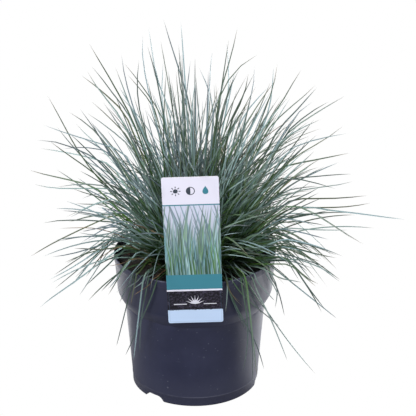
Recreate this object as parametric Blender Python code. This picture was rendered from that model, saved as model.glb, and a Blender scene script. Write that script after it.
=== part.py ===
"""Potted blue fescue: a round nursery pot with its soil, a plant label hung over the rim, and a clump of
narrow leaves that grow in tufts. Metres, +Z up. The origin is the middle of the pot's underside, and the label
faces -Y."""

import math

import bmesh
import bpy
from mathutils import Matrix, Vector, noise

# Driving dimensions of the pot
POT_HEIGHT = 0.150
RIM_RADIUS = 0.0855
LIP_HEIGHT = 0.006
LIP_UNDERCUT = 0.0009
LIP_SLOPE = 0.0025
COLLAR_RADIUS = 0.0826
COLLAR_BOTTOM = 0.1105
NECK_RADIUS = 0.0748
NECK_HEIGHT = 0.0955
FOOT_RADIUS = 0.0676
FOOT_ROUNDING = 0.001
WALL = 0.0014
FLOOR = 0.0016
POT_SIDES = 40

# The cove from the collar in to the neck: it starts gently and meets the tapered body at a corner
COVE_POWER = 1.4
COVE_STEPS = 5

# Gaps between pieces, how far a cutter runs past what it cuts, and how near points are one point
GAP = 0.0003
OVERRUN = 0.002
SAME_POINT = 0.00001

# The drain notches, one every third of a turn, and the hole over each
NOTCH_COUNT = 3
FIRST_NOTCH = math.radians(-39.5)
NOTCH_HEIGHT = 0.006
NOTCH_HALF_WIDTH = math.radians(12.5)
NOTCH_HALF_TOP = math.radians(7.0)
NOTCH_INNER_RADIUS = 0.046
DRAIN_HOLE_RADIUS = 0.0045
DRAIN_HOLE_PLACE = 0.055
DRAIN_HOLE_DEPTH = 0.008
DRAIN_HOLE_SIDES = 12

# The soil: lumpy round the edge, and level where the tufts stand
SOIL_HEIGHT = 0.137
SOIL_SIDES = 20
SOIL_RINGS = (0.078, 0.068, 0.056)
SOIL_EDGE_INSET = 0.002
LEVEL_RADIUS = 0.057
SOIL_LUMP = 0.0022
LUMPS_PER_METRE = 60.0

# The label: a card that leans with the collar, turned a little, and the tongue that holds it
CARD_WIDTH = 0.0554
CARD_LENGTH = 0.1624
CARD_THICKNESS = 0.0006
CARD_CORNER = 0.0022
CARD_CORNER_STEPS = 3
CARD_CENTRE = Vector((-0.0009, -0.0897, 0.1872))
CARD_LEAN = math.radians(4.6)
CARD_TURN = math.radians(1.9)
TONGUE_WIDTH = 0.012
TONGUE_THICKNESS = 0.0008
TONGUE_CLEARANCE = 0.0005
TONGUE_TOP = POT_HEIGHT + TONGUE_CLEARANCE + TONGUE_THICKNESS / 2
TONGUE_FOOT = 0.112
TONGUE_PLACE = 0.078
STEM_INSET = 0.0001

# The clump. Each ring of tufts: how many, the bearing of the first, where they stand in the soil, how far
# they lean there, how far out and how high their tips are, and how many degrees a tuft's shortest leaf sinks
# below its long one. A bearing is in degrees from the front, to the right.
RINGS = (
    {"count": 5, "first": -90, "stand": 0.009, "lean": 4, "out": 0.045, "up": 0.385, "sink": 3.5},
    {"count": 9, "first": -80, "stand": 0.019, "lean": 14, "out": 0.110, "up": 0.350, "sink": 3.5},
    {"count": 12, "first": -90, "stand": 0.029, "lean": 26, "out": 0.165, "up": 0.285, "sink": 3.5},
    {"count": 12, "first": -75, "stand": 0.038, "lean": 38, "out": 0.190, "up": 0.205, "sink": 2.0},
    {"count": 10, "first": -90, "stand": 0.048, "lean": 46, "out": 0.180, "up": 0.140, "sink": -1.5},
)

# How far the reach of a ring's tufts waves about its mean, and how fast from place to place and from ring
# to ring
REACH_WAVE = 0.06
WAVE_BY_PLACE = 2.4
WAVE_BY_RING = 1.7

# Tips that stand out from their ring, in millimetres, by ring and place in it
MILLIMETRE = 0.001
OWN_TIPS = {
    (0, 0): (-30, 10, 396),
    (0, 3): (45, 20, 385),
    (1, 0): (-104, -15, 378),
    (1, 4): (82, -15, 358),
    (1, 5): (110, 40, 336),
    (1, 8): (-75, 45, 350),
    (2, 0): (-148, 0, 320),
    (2, 1): (-143, -80, 315),
    (2, 3): (4, -80, 250),
    (2, 5): (146, -80, 306),
    (2, 6): (151, 0, 319),
    (2, 7): (129, 80, 307),
    (2, 11): (-120, 80, 318),
    (3, 0): (-165, -45, 256),
    (3, 2): (-78, -132, 210),
    (3, 3): (76, -134, 205),
    (3, 5): (158, -45, 244),
    (3, 6): (189, 45, 184),
    (3, 11): (-172, 45, 207),
    (4, 0): (-174, 0, 142),
    (4, 1): (-151, -110, 136),
    (4, 4): (142, -102, 120),
    (4, 5): (220, 0, 185),
}

# Tufts whose leaves fall over the rim and hang in front of the pot
HANGING_TIPS = {
    (4, 2): (-62, -90, 66),
    (4, 3): (64, -90, 48),
}

LEAF_SIDES = 3
LEAF_SEGMENTS = 5
TUFT_THICKNESS = 0.0044
LEAF_THICKNESS = 0.0029
TIP_THICKNESS = 0.0004
TAPER = 1.1
UPRIGHT = 0.05
ARCH = 0.50
HANGING_ARCH = 0.98
HANGING_LEAN = 45
# The two side leaves of a tuft: how far they turn away as a share of the room to the next tuft, their length
# as a share of the long leaf's, and where along it they leave it. The first rises above the long leaf.
SIDE_LEAVES = ((-0.27, 0.86, 0.06), (0.24, 0.79, 0.10))
SIDE_RISE = -3.0

# Colour, roughness and metallic value of each finish
FINISHES = {
    "pot_plastic": ((0.030, 0.034, 0.052), 0.48, 0.0),
    "soil": ((0.016, 0.011, 0.008), 0.95, 0.0),
    "label_print": ((0.62, 0.70, 0.75), 0.35, 0.0),
    "leaf": ((0.16, 0.25, 0.20), 0.60, 0.0),
}


def clear_scene():
    """Empties the scene."""
    for thing in list(bpy.data.objects):
        bpy.data.objects.remove(thing, do_unlink=True)


def finish(name):
    """The material of that name, made once."""
    if name in bpy.data.materials:
        return bpy.data.materials[name]
    colour, roughness, metallic = FINISHES[name]
    material = bpy.data.materials.new(name)
    material.use_nodes = True
    shader = material.node_tree.nodes["Principled BSDF"]
    shader.inputs["Base Color"].default_value = (*colour, 1.0)
    shader.inputs["Roughness"].default_value = roughness
    shader.inputs["Metallic"].default_value = metallic
    material.diffuse_color = (*colour, 1.0)
    return material


def add_object(name, mesh, material=None):
    """Puts a mesh in the scene as an object."""
    thing = bpy.data.objects.new(name, mesh)
    bpy.context.scene.collection.objects.link(thing)
    if material:
        mesh.materials.clear()
        mesh.materials.append(finish(material))
    return thing


def add_guide(name, mesh):
    """An object that only shapes another one."""
    guide = add_object(name, mesh)
    guide.hide_render = True
    guide.display_type = "WIRE"
    return guide


def boolean(thing, other, operation):
    """Cuts other out of thing, or joins it to thing."""
    modifier = thing.modifiers.new(other.name, "BOOLEAN")
    modifier.operation = operation
    modifier.solver = "EXACT"
    modifier.object = other


def smooth(mesh, angle=40):
    """Shades a mesh smooth but for its sharp edges."""
    mesh.shade_smooth()
    mesh.set_sharp_from_angle(angle=math.radians(angle))


def to_mesh(name, shape):
    """Turns a finished bmesh into a mesh with its faces pointing out."""
    bmesh.ops.recalc_face_normals(shape, faces=shape.faces)
    mesh = bpy.data.meshes.new(name)
    shape.to_mesh(mesh)
    shape.free()
    return mesh


def turned(name, outline, sides):
    """A closed turned solid from (radius, height) points, top to bottom, closed at the axis."""
    shape = bmesh.new()
    top, bottom = outline[0][1], outline[-1][1]
    line = [(0.0, top), *outline, (0.0, bottom)]
    dots = [shape.verts.new((radius, 0.0, height)) for radius, height in line]
    edges = [shape.edges.new(pair) for pair in zip(dots, dots[1:])]
    bmesh.ops.spin(
        shape,
        geom=[*dots, *edges],
        cent=(0.0, 0.0, 0.0),
        axis=(0.0, 0.0, 1.0),
        angle=math.tau,
        steps=sides,
        use_merge=True,
    )
    bmesh.ops.remove_doubles(shape, verts=shape.verts, dist=SAME_POINT)
    return to_mesh(name, shape)


def wall_line(inset):
    """The pot's side from the rim to the foot, moved in by inset."""
    line = [
        (RIM_RADIUS, POT_HEIGHT),
        (RIM_RADIUS, POT_HEIGHT - LIP_HEIGHT),
        (RIM_RADIUS - LIP_UNDERCUT, POT_HEIGHT - LIP_HEIGHT - LIP_SLOPE),
        (COLLAR_RADIUS, COLLAR_BOTTOM),
    ]
    for step in range(1, COVE_STEPS + 1):
        share = step / COVE_STEPS
        radius = COLLAR_RADIUS - (COLLAR_RADIUS - NECK_RADIUS) * share**COVE_POWER
        line.append((radius, COLLAR_BOTTOM - (COLLAR_BOTTOM - NECK_HEIGHT) * share))
    line.append((FOOT_RADIUS + FOOT_ROUNDING / 2, FOOT_ROUNDING))
    return [(radius - inset, height) for radius, height in line]


def direction(bearing):
    """The level direction at a bearing from the front, to the right."""
    return Vector((math.sin(bearing), -math.cos(bearing), 0.0))


def notch_block(name, bearing, inner, outer, bottom, top, spread):
    """A block over one drain notch with sloping ends, spread a little wider for the shell around it."""
    across = direction(bearing + math.pi / 2)
    along = direction(bearing)
    slope = (math.sin(NOTCH_HALF_WIDTH) - math.sin(NOTCH_HALF_TOP)) / NOTCH_HEIGHT
    shape = bmesh.new()
    for height in (bottom, top):
        for radius, sides in ((inner, (-1, 1)), (outer, (1, -1))):
            half = radius * (math.sin(NOTCH_HALF_WIDTH) - slope * height) + spread
            for side in sides:
                place = along * radius + across * (side * half)
                shape.verts.new((place.x, place.y, height))
    bmesh.ops.convex_hull(shape, input=shape.verts)
    return to_mesh(name, shape)


def bearings():
    """The bearing of each drain notch."""
    return [FIRST_NOTCH + k * math.tau / NOTCH_COUNT for k in range(NOTCH_COUNT)]


def add_cavity(name, gap, sides, top_rings):
    """The space inside the pot, made smaller by gap, clear of the raised floor over the notches."""
    inside = [point for point in wall_line(WALL + gap) if point[1] < top_rings[0][1] - OVERRUN / 2]
    inside[-1] = (FOOT_RADIUS - WALL - gap, FLOOR + gap)
    cavity = add_guide(name, turned(name, [*top_rings, *inside], sides))
    for k, bearing in enumerate(bearings()):
        shell = notch_block(
            f"{name}_floor_{k}",
            bearing,
            NOTCH_INNER_RADIUS - FLOOR - gap,
            RIM_RADIUS,
            -OVERRUN,
            NOTCH_HEIGHT + FLOOR + gap,
            FLOOR + gap,
        )
        boolean(cavity, add_guide(shell.name, shell), "DIFFERENCE")
    return cavity


def add_pot():
    """The nursery pot: its turned shell, the notches in its foot and a drain hole over each."""
    outline = [*wall_line(0.0), (FOOT_RADIUS - FOOT_ROUNDING / 2, 0.0)]
    pot = add_object("pot", turned("pot", outline, POT_SIDES), "pot_plastic")
    rim_top = [(RIM_RADIUS - WALL, POT_HEIGHT + OVERRUN)]
    boolean(pot, add_cavity("pot_inside", 0.0, POT_SIDES, rim_top), "DIFFERENCE")
    for k, bearing in enumerate(bearings()):
        notch = notch_block(
            f"notch_{k}", bearing, NOTCH_INNER_RADIUS, RIM_RADIUS, -OVERRUN, NOTCH_HEIGHT, 0.0
        )
        boolean(pot, add_guide(notch.name, notch), "DIFFERENCE")
        hole = bmesh.new()
        place = direction(bearing) * DRAIN_HOLE_PLACE + Vector((0.0, 0.0, NOTCH_HEIGHT))
        bmesh.ops.create_cone(
            hole,
            cap_ends=True,
            segments=DRAIN_HOLE_SIDES,
            radius1=DRAIN_HOLE_RADIUS,
            radius2=DRAIN_HOLE_RADIUS,
            depth=DRAIN_HOLE_DEPTH,
            matrix=Matrix.Translation(place),
        )
        boolean(pot, add_guide(f"hole_{k}", to_mesh(f"hole_{k}", hole)), "DIFFERENCE")
    smooth(pot.data)
    return pot


def add_soil():
    """The soil, lumpy round the edge, level under the clump, with a slot for the label's tongue."""
    rings = [(radius, SOIL_HEIGHT) for radius in reversed(SOIL_RINGS)]
    edge = RIM_RADIUS - WALL - GAP - SOIL_EDGE_INSET
    soil = add_cavity("soil", GAP, SOIL_SIDES, [*rings, (edge, SOIL_HEIGHT)])
    soil.hide_render = False
    soil.display_type = "TEXTURED"
    soil.data.materials.append(finish("soil"))
    for dot in soil.data.vertices:
        radius = math.hypot(dot.co.x, dot.co.y)
        if abs(dot.co.z - SOIL_HEIGHT) < SAME_POINT and LEVEL_RADIUS < radius:
            dot.co.z += SOIL_LUMP * noise.noise(dot.co * LUMPS_PER_METRE)
    slot = bmesh.new()
    height = POT_HEIGHT - TONGUE_FOOT
    place = Vector((CARD_CENTRE.x, -TONGUE_PLACE, TONGUE_FOOT - GAP + height / 2))
    size = (TONGUE_WIDTH + 2 * GAP, TONGUE_THICKNESS + 2 * GAP, height)
    bmesh.ops.create_cube(slot, size=1.0, matrix=Matrix.LocRotScale(place, None, size))
    boolean(soil, add_guide("tongue_slot", to_mesh("tongue_slot", slot)), "DIFFERENCE")
    return soil


def plate(name, size, placing):
    """A flat box of a size, put where placing says."""
    shape = bmesh.new()
    bmesh.ops.create_cube(shape, size=1.0, matrix=placing @ Matrix.Diagonal((*size, 1.0)))
    return to_mesh(name, shape)


def card_placing():
    """Where the card is: its own X is across, Y is through it and Z is up it."""
    lean = Matrix.Rotation(CARD_LEAN, 4, "X")
    turn = Matrix.Rotation(-CARD_TURN, 4, "Y")
    return Matrix.Translation(CARD_CENTRE) @ lean @ turn


def add_label():
    """The card with rounded corners, and its tongue: back over the rim and down into the soil."""
    shape = bmesh.new()
    size = (CARD_WIDTH, CARD_THICKNESS, CARD_LENGTH)
    bmesh.ops.create_cube(shape, size=1.0, matrix=Matrix.Diagonal((*size, 1.0)))
    corners = [e for e in shape.edges if abs(e.verts[0].co.y - e.verts[1].co.y) > CARD_THICKNESS / 2]
    bmesh.ops.bevel(
        shape, geom=corners, offset=CARD_CORNER, segments=CARD_CORNER_STEPS, profile=0.5, affect="EDGES"
    )
    shape.transform(card_placing())
    label = add_object("label", to_mesh("label", shape), "label_print")
    front = CARD_CENTRE.y + math.tan(CARD_LEAN) * (CARD_CENTRE.z - TONGUE_TOP)
    back = -TONGUE_PLACE + TONGUE_THICKNESS / 2
    bridge = plate(
        "tongue_bridge",
        (TONGUE_WIDTH, back - front, TONGUE_THICKNESS),
        Matrix.Translation((CARD_CENTRE.x, (front + back) / 2, TONGUE_TOP)),
    )
    height = TONGUE_TOP - TONGUE_FOOT
    stem = plate(
        "tongue_stem",
        (TONGUE_WIDTH - STEM_INSET, TONGUE_THICKNESS, height),
        Matrix.Translation((CARD_CENTRE.x, -TONGUE_PLACE, TONGUE_FOOT + height / 2)),
    )
    for piece in (bridge, stem):
        boolean(label, add_guide(piece.name, piece), "UNION")
    return label


def along_curve(points, t):
    """The place and the direction at a share t of the curve that a start, a middle and a tip give."""
    start, middle, tip = points
    place = start * (1 - t) ** 2 + middle * (2 * t * (1 - t)) + tip * t**2
    ahead = (middle - start) * (1 - t) + (tip - middle) * t
    return place, ahead.normalized()


def leaf(name, points, thickness, standing):
    """A tapering three-sided leaf along a curve. One that stands in the soil is thickest at its flat foot, and
    the others grow out of it from a point."""
    start, _, tip = points
    shape = bmesh.new()
    rings = []
    for step in range(LEAF_SEGMENTS):
        t = step / LEAF_SEGMENTS
        place, ahead = along_curve(points, t)
        across = ahead.cross(Vector((0.0, 0.0, 1.0)))
        across = (across if across.length > UPRIGHT else Vector((1.0, 0.0, 0.0))).normalized()
        above = across.cross(ahead)
        radius = TIP_THICKNESS + (thickness - TIP_THICKNESS) * (1 - t) ** TAPER
        if step == 0 and not standing:
            radius = TIP_THICKNESS
        ring = []
        for k in range(LEAF_SIDES):
            turn = math.tau * k / LEAF_SIDES
            dot = place + (across * math.sin(turn) + above * math.cos(turn)) * radius
            if step == 0 and standing:
                dot += ahead * ((start.z - dot.z) / ahead.z)
            ring.append(shape.verts.new(dot))
        rings.append(ring)
    end = shape.verts.new(tip)
    for low, high in zip(rings, rings[1:]):
        for k in range(LEAF_SIDES):
            n = (k + 1) % LEAF_SIDES
            shape.faces.new((low[k], low[n], high[n], high[k]))
    for k in range(LEAF_SIDES):
        shape.faces.new((rings[-1][k], rings[-1][(k + 1) % LEAF_SIDES], end))
    shape.faces.new(rings[0])
    bmesh.ops.triangulate(shape, faces=shape.faces)
    return to_mesh(name, shape)


def fuse(name, meshes, material):
    """One closed object from closed meshes that overlap."""
    whole = add_object(name, meshes[0], material)
    others = [add_guide(mesh.name, mesh) for mesh in meshes[1:]]
    for other in others:
        boolean(whole, other, "UNION")
    evaluated = whole.evaluated_get(bpy.context.evaluated_depsgraph_get())
    joined = bpy.data.meshes.new_from_object(evaluated)
    whole.modifiers.clear()
    whole.data = joined
    joined.name = name
    for other in others:
        bpy.data.objects.remove(other, do_unlink=True)
    return whole


def bearing_of(place):
    """The bearing of a place, from the front to the right."""
    return math.atan2(place.x, -place.y)


def moved_tip(tip, turn, length, drop):
    """A tip near another, turned about the pot's axis and with its reach from the clump's heart scaled."""
    heart = Vector((0.0, 0.0, SOIL_HEIGHT))
    reach = tip - heart
    out = math.hypot(reach.x, reach.y)
    lean = math.atan2(out, reach.z) + math.radians(drop)
    return heart + (direction(bearing_of(tip) + turn) * math.sin(lean) + Vector((0, 0, math.cos(lean)))) * (
        reach.length * length
    )


def add_tuft(number, ring, place):
    """One bundle of leaves: a long one to the tuft's tip, and a shorter one on each side of it."""
    form = RINGS[ring]
    room = math.tau / form["count"]
    bearing = math.radians(form["first"]) + place * room
    wave = 1.0 + REACH_WAVE * math.sin(WAVE_BY_PLACE * place + WAVE_BY_RING * ring)
    hanging = (ring, place) in HANGING_TIPS
    own = HANGING_TIPS.get((ring, place)) or OWN_TIPS.get((ring, place))
    if own:
        tip = Vector(own) * MILLIMETRE
    else:
        tip = direction(bearing) * (form["out"] * wave) + Vector((0.0, 0.0, form["up"]))
    foot = direction(bearing) * form["stand"] + Vector((0.0, 0.0, SOIL_HEIGHT + GAP))
    lean = math.radians(HANGING_LEAN if hanging else form["lean"])
    rise = direction(bearing_of(tip)) * math.sin(lean) + Vector((0.0, 0.0, math.cos(lean)))
    arch = HANGING_ARCH if hanging else ARCH
    curve = (foot, foot + rise * ((tip - foot).length * arch), tip)
    meshes = [leaf(f"long_leaf_{number:02}", curve, TUFT_THICKNESS, True)]
    for k, (turn, length, fork) in enumerate(SIDE_LEAVES):
        end = moved_tip(tip, turn * room, length, form["sink"] if k else SIDE_RISE)
        start, ahead = along_curve(curve, fork)
        side_curve = (start, start + ahead * ((end - start).length * arch), end)
        meshes.append(leaf(f"side_leaf_{number:02}_{k}", side_curve, LEAF_THICKNESS, False))
    return fuse(f"leaf_tuft_{number:02}", meshes, "leaf")


def add_clump():
    """All tufts, ring by ring from the middle out."""
    number = 0
    for ring, form in enumerate(RINGS):
        for place in range(form["count"]):
            number += 1
            add_tuft(number, ring, place)


def main():
    clear_scene()
    add_pot()
    add_soil()
    add_label()
    add_clump()


main()
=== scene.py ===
"""Potted blue fescue: the looks of the nursery pot, its soil, the plant label and every leaf of the clump,
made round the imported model. In metres, with +Z up, and the label faces -Y."""

import math

import bpy
import numpy as np
from mathutils import Matrix, Vector


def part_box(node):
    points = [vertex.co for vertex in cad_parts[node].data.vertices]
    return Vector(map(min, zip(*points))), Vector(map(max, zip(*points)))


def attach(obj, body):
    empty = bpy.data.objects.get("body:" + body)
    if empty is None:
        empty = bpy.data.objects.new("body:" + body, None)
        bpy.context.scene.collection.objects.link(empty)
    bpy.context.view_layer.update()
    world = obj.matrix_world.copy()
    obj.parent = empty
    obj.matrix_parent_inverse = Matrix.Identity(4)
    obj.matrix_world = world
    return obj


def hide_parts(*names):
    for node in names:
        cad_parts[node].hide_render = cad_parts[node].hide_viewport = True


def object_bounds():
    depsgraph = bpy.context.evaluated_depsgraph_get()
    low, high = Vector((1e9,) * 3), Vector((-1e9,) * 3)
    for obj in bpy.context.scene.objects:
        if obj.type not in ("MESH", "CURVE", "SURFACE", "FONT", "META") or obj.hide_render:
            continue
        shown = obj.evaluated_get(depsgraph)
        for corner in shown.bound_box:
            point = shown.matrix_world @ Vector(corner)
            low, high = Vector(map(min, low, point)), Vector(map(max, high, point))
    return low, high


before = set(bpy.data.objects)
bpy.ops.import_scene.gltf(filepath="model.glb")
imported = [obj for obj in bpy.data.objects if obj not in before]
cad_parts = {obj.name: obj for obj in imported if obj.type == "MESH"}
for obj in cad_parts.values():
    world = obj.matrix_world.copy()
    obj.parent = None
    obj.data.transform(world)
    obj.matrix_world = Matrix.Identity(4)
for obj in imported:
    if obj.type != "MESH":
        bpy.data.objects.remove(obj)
cad_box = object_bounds()

# The camera, as the photograph was taken
CAMERA_PLACE = (0.0139, -1.303, 0.718)
CAMERA_PITCH = math.radians(21.77)
CAMERA_LENS = 116.3
CAMERA_SENSOR = 36.0
PHOTO_SIZE = 416
FOCAL = CAMERA_LENS / CAMERA_SENSOR * PHOTO_SIZE
AHEAD = np.array((0.0, math.cos(CAMERA_PITCH), -math.sin(CAMERA_PITCH)))
UPWARD = np.array((0.0, math.sin(CAMERA_PITCH), math.cos(CAMERA_PITCH)))
ACROSS = np.array((1.0, 0.0, 0.0))

# The studio: how bright each side of it is to what stands in it, its floor with its painted light, painted
# shadow and glow, and its lamps as (name, place, size, power)
STUDIO = {"all": 0.14, "left": 0.50, "right": 0.66, "back": 0.18, "top": 0.22}
STUDIO_TINT = (0.93, 0.95, 1.0)
FLOOR_GREY = (0.45, 0.45, 0.47)
FLOOR_PAINTED_LIGHT = (0.92, 0.92, 0.92)
FLOOR_PAINTED_SHADOW = (0.05, 0.05, 0.06)
FLOOR_GLOW = 0.72
LAMPS = (
    ("key", (-0.75, -1.25, 1.5), 0.45, 44.0),
    ("fill", (0.9, -1.5, 0.7), 0.8, 8.0),
    ("right_card", (0.50, 0.42, 0.20), 0.34, 5.0),
    ("left_card", (-0.75, 0.30, 0.25), 0.45, 1.5),
)
LAMPS_AIM = (0.0, 0.0, 0.16)

# The pot, drawn from its foot up. The ring line's shape is (rise, share of its raise), and under the lip
# the wall runs through places so far in from the lip and below its lower edge.
POT_SIDES = 112
POT_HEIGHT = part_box("pot")[1].z
RIM_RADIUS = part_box("pot")[1].x
LIP_HEIGHT = 0.006
LIP_ROUNDING = 0.0005
COLLAR_RADIUS = 0.0826
COLLAR_BOTTOM = 0.1105
NECK_RADIUS = 0.0748
NECK_HEIGHT = 0.0955
FOOT_RADIUS = 0.0676
FOOT_ROUNDING = 0.001
RING_LINE_HEIGHT = 0.0104
RING_LINE_RAISE = 0.00025
WALL = 0.0014
FLOOR = 0.0016
RING_LINE_SHAPE = ((-0.0012, 0.0), (-0.0004, 1.0), (0.0004, 1.0), (0.0012, 0.0))
UNDER_LIP = ((0.0009, 0.0025), (0.0003, 0.0009), (0.0, 0.0))
COVE_POWER = 1.4
COVE_STEPS = 14

# The drain notches in the foot, and the hole over each
NOTCH_COUNT = 3
FIRST_NOTCH = math.radians(-39.5)
NOTCH_HEIGHT = 0.006
NOTCH_WIDTH = 0.0294
NOTCH_TOP_WIDTH = 0.0166
NOTCH_INNER_RADIUS = 0.046
NOTCH_ROUNDING = 0.0028
DRAIN_HOLE_RADIUS = 0.0045
DRAIN_HOLE_PLACE = 0.055

# The soil
SOIL_HEIGHT = 0.137
SOIL_SIDES = 96
SOIL_RINGS = 34
SOIL_GRAIN = 0.0003
GAP = 0.0003
CRUMBS = 1500
CRUMBS_FROM = 0.028
CRUMB_SMALLEST = 0.0005
CRUMB_MORE = 0.0016
CRUMB_STRETCH = ((0.7, 0.7, 0.5), (1.7, 1.1, 0.9))
CRUMB_LUMPS = 0.22

# The label's card and its tongue
CARD_WIDTH = 0.0554
CARD_LENGTH = 0.1624
CARD_THICKNESS = 0.0006
CARD_CORNER = 0.0022
CARD_CENTRE = Vector((-0.0009, -0.0897, 0.1872))
CARD_LEAN = math.radians(4.6)
CARD_TURN = math.radians(1.9)
TONGUE_WIDTH = 0.012
TONGUE_THICKNESS = 0.0008
TONGUE_TOP = POT_HEIGHT + 0.0009
TONGUE_FOOT = 0.112
TONGUE_PLACE = 0.078

# The clump: for each ring of tufts from the middle out, how many tufts it has, how many shoots a tuft has,
# how many leaves a shoot has, and how far the leaves lean where they leave the soil, in degrees
RINGS = (
    {"count": 5, "shoots": 6, "leaves": 7, "lean": 5},
    {"count": 9, "shoots": 6, "leaves": 7, "lean": 14},
    {"count": 12, "shoots": 6, "leaves": 7, "lean": 25},
    {"count": 12, "shoots": 6, "leaves": 7, "lean": 36},
    {"count": 10, "shoots": 6, "leaves": 6, "lean": 46},
)
HEART = Vector((0.006, 0.004, SOIL_HEIGHT))
HEART_SPREAD = 0.84

# A leaf's line: how many points it has in a usual leaf, in one that hangs and while it is drawn, how
# sharply it may turn, and how many passes of smoothing that may take
STATIONS = 14
HANG_STATIONS = 30
FINE_STATIONS = 64
LEAF_TURN = math.radians(14.0)
MOST_SMOOTHING = 80

# A leaf's blade: its section for a width of 1, from side to side with the groove above and the keel below,
# where each of those points lies across its strip in the bake map, and how much of its share of the map the
# strip takes
LEAF_SECTION = ((-0.5, 0.14), (0.0, 0.02), (0.5, 0.14), (0.0, -0.60))
SECTION_PLACES = (0.0, 0.5, 1.0, 0.5)
STRIP_EDGE = 0.12
STRIP_WIDTH = 0.76
LEAF_BAKE_MAP = "OFBake"
LEAF_WIDTH = (0.00104, 0.00150)
STRAY_WIDTH = (0.00140, 0.00175)
DRY_WIDTH = 0.55

# How the shoots of a tuft spread over its room, lean in degrees, stand in the soil and differ in tone, and
# how far their leaves do. Some leaves are unruly and go their own way.
SHOOT_SPREAD = 0.75
SHOOT_LEAN = 12.0
SHOOT_STAND = 0.0080
SHOOT_TONE = (0.50, 0.28)
LEAF_SPREAD = 0.30
LEAF_LEAN = math.radians(14.0)
LEAF_STAND = 0.0016
LEAF_TONE = 0.18
LEAF_ARCH = (0.38, 0.58)
LEAF_SWAY = (0.052, 0.018)
UNRULY = 0.22
UNRULY_SPREAD = 0.8
UNRULY_LEAN = 0.45
BLUE_TO_LEFT = 3.2
DRY_LEAVES = 0.004
DRYING_LEAVES = 0.04

# The longest usual leaf, the shortest as a share of it, and how much fewer the long ones are than the
# short. Where a leaf that reaches past the bulk ends, as shares of that reach: the least, and how much
# more.
LEAF_LENGTH = 0.245
SHORTEST = 0.36
LONG_FEW = 1.35
EDGE_NEAREST = 0.45
EDGE_DEPTH = 0.6

# How near in pixels a leaf of the photograph ends to a tuft's own tip, how much that tip's direction counts
# against the leaf's own line, and how far its foot may stand from the tuft's middle
OWN_TIP_NEAR = 5.0
TIP_SHARE = 0.8
STRAY_STAND = 0.003

# How far leaves keep off the pot's wall, its rim and the wall below it, the card's sides, back and top, and
# the ground, how far they may pass the box round the model, and how far out from the rim and above it those
# that hang in front are placed
WALL_ROOM = 0.0012
RIM_ROOM = 0.0018
BESIDE_ROOM = 0.0016
ROOM_BESIDE_CARD = 0.002
ROOM_BEHIND_CARD = 0.0015
ROOM_ABOVE_CARD = 0.003
GROUND_ROOM = 0.004
STRAY_ROOM = 0.006
HANG_CLEAR = 0.0035
HANG_RISE = 0.0035

# The low leaves: how many, the share of them that is dry and the share up to which they are drying, and
# their sizes
LOW_LEAVES = 150
LOW_DRY = 0.42
LOW_DRYING = 0.60
LOW_LENGTH = (0.028, 0.075)
LOW_DRY_LENGTH = (0.020, 0.050)
LOW_WIDTH = (0.0006, 0.0010)

# The falling leaves: how their tips lean from upright and how they set off, both in degrees, their length
# as a share of the longest, where they bend over, and how high over the rim they pass
FALL_LEAN = (96.0, 116.0)
FALL_SET_OFF = (32.0, 60.0)
FALL_LENGTH = (0.48, 0.68)
FALL_KNEE = (0.018, 0.036)
FALL_CREST = (0.002, 0.013)

# How far the bulk of the leaves reaches from the heart in the photograph, in pixels, and how full it is
# there, by the direction in the picture in degrees, from the right and up
HEART_PIXEL = (203.0, 247.0)
BULK = {
    -90: (60, 0.50),
    -50: (80, 0.70),
    -30: (96, 1.00),
    -10: (150, 1.00),
    10: (84, 0.60),
    30: (134, 0.95),
    50: (178, 1.00),
    70: (176, 0.94),
    90: (178, 0.82),
    110: (176, 0.90),
    130: (166, 0.63),
    150: (146, 0.50),
    170: (112, 0.52),
    190: (112, 0.45),
    210: (100, 0.40),
    230: (80, 0.45),
    270: (60, 0.50),
}

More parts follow.
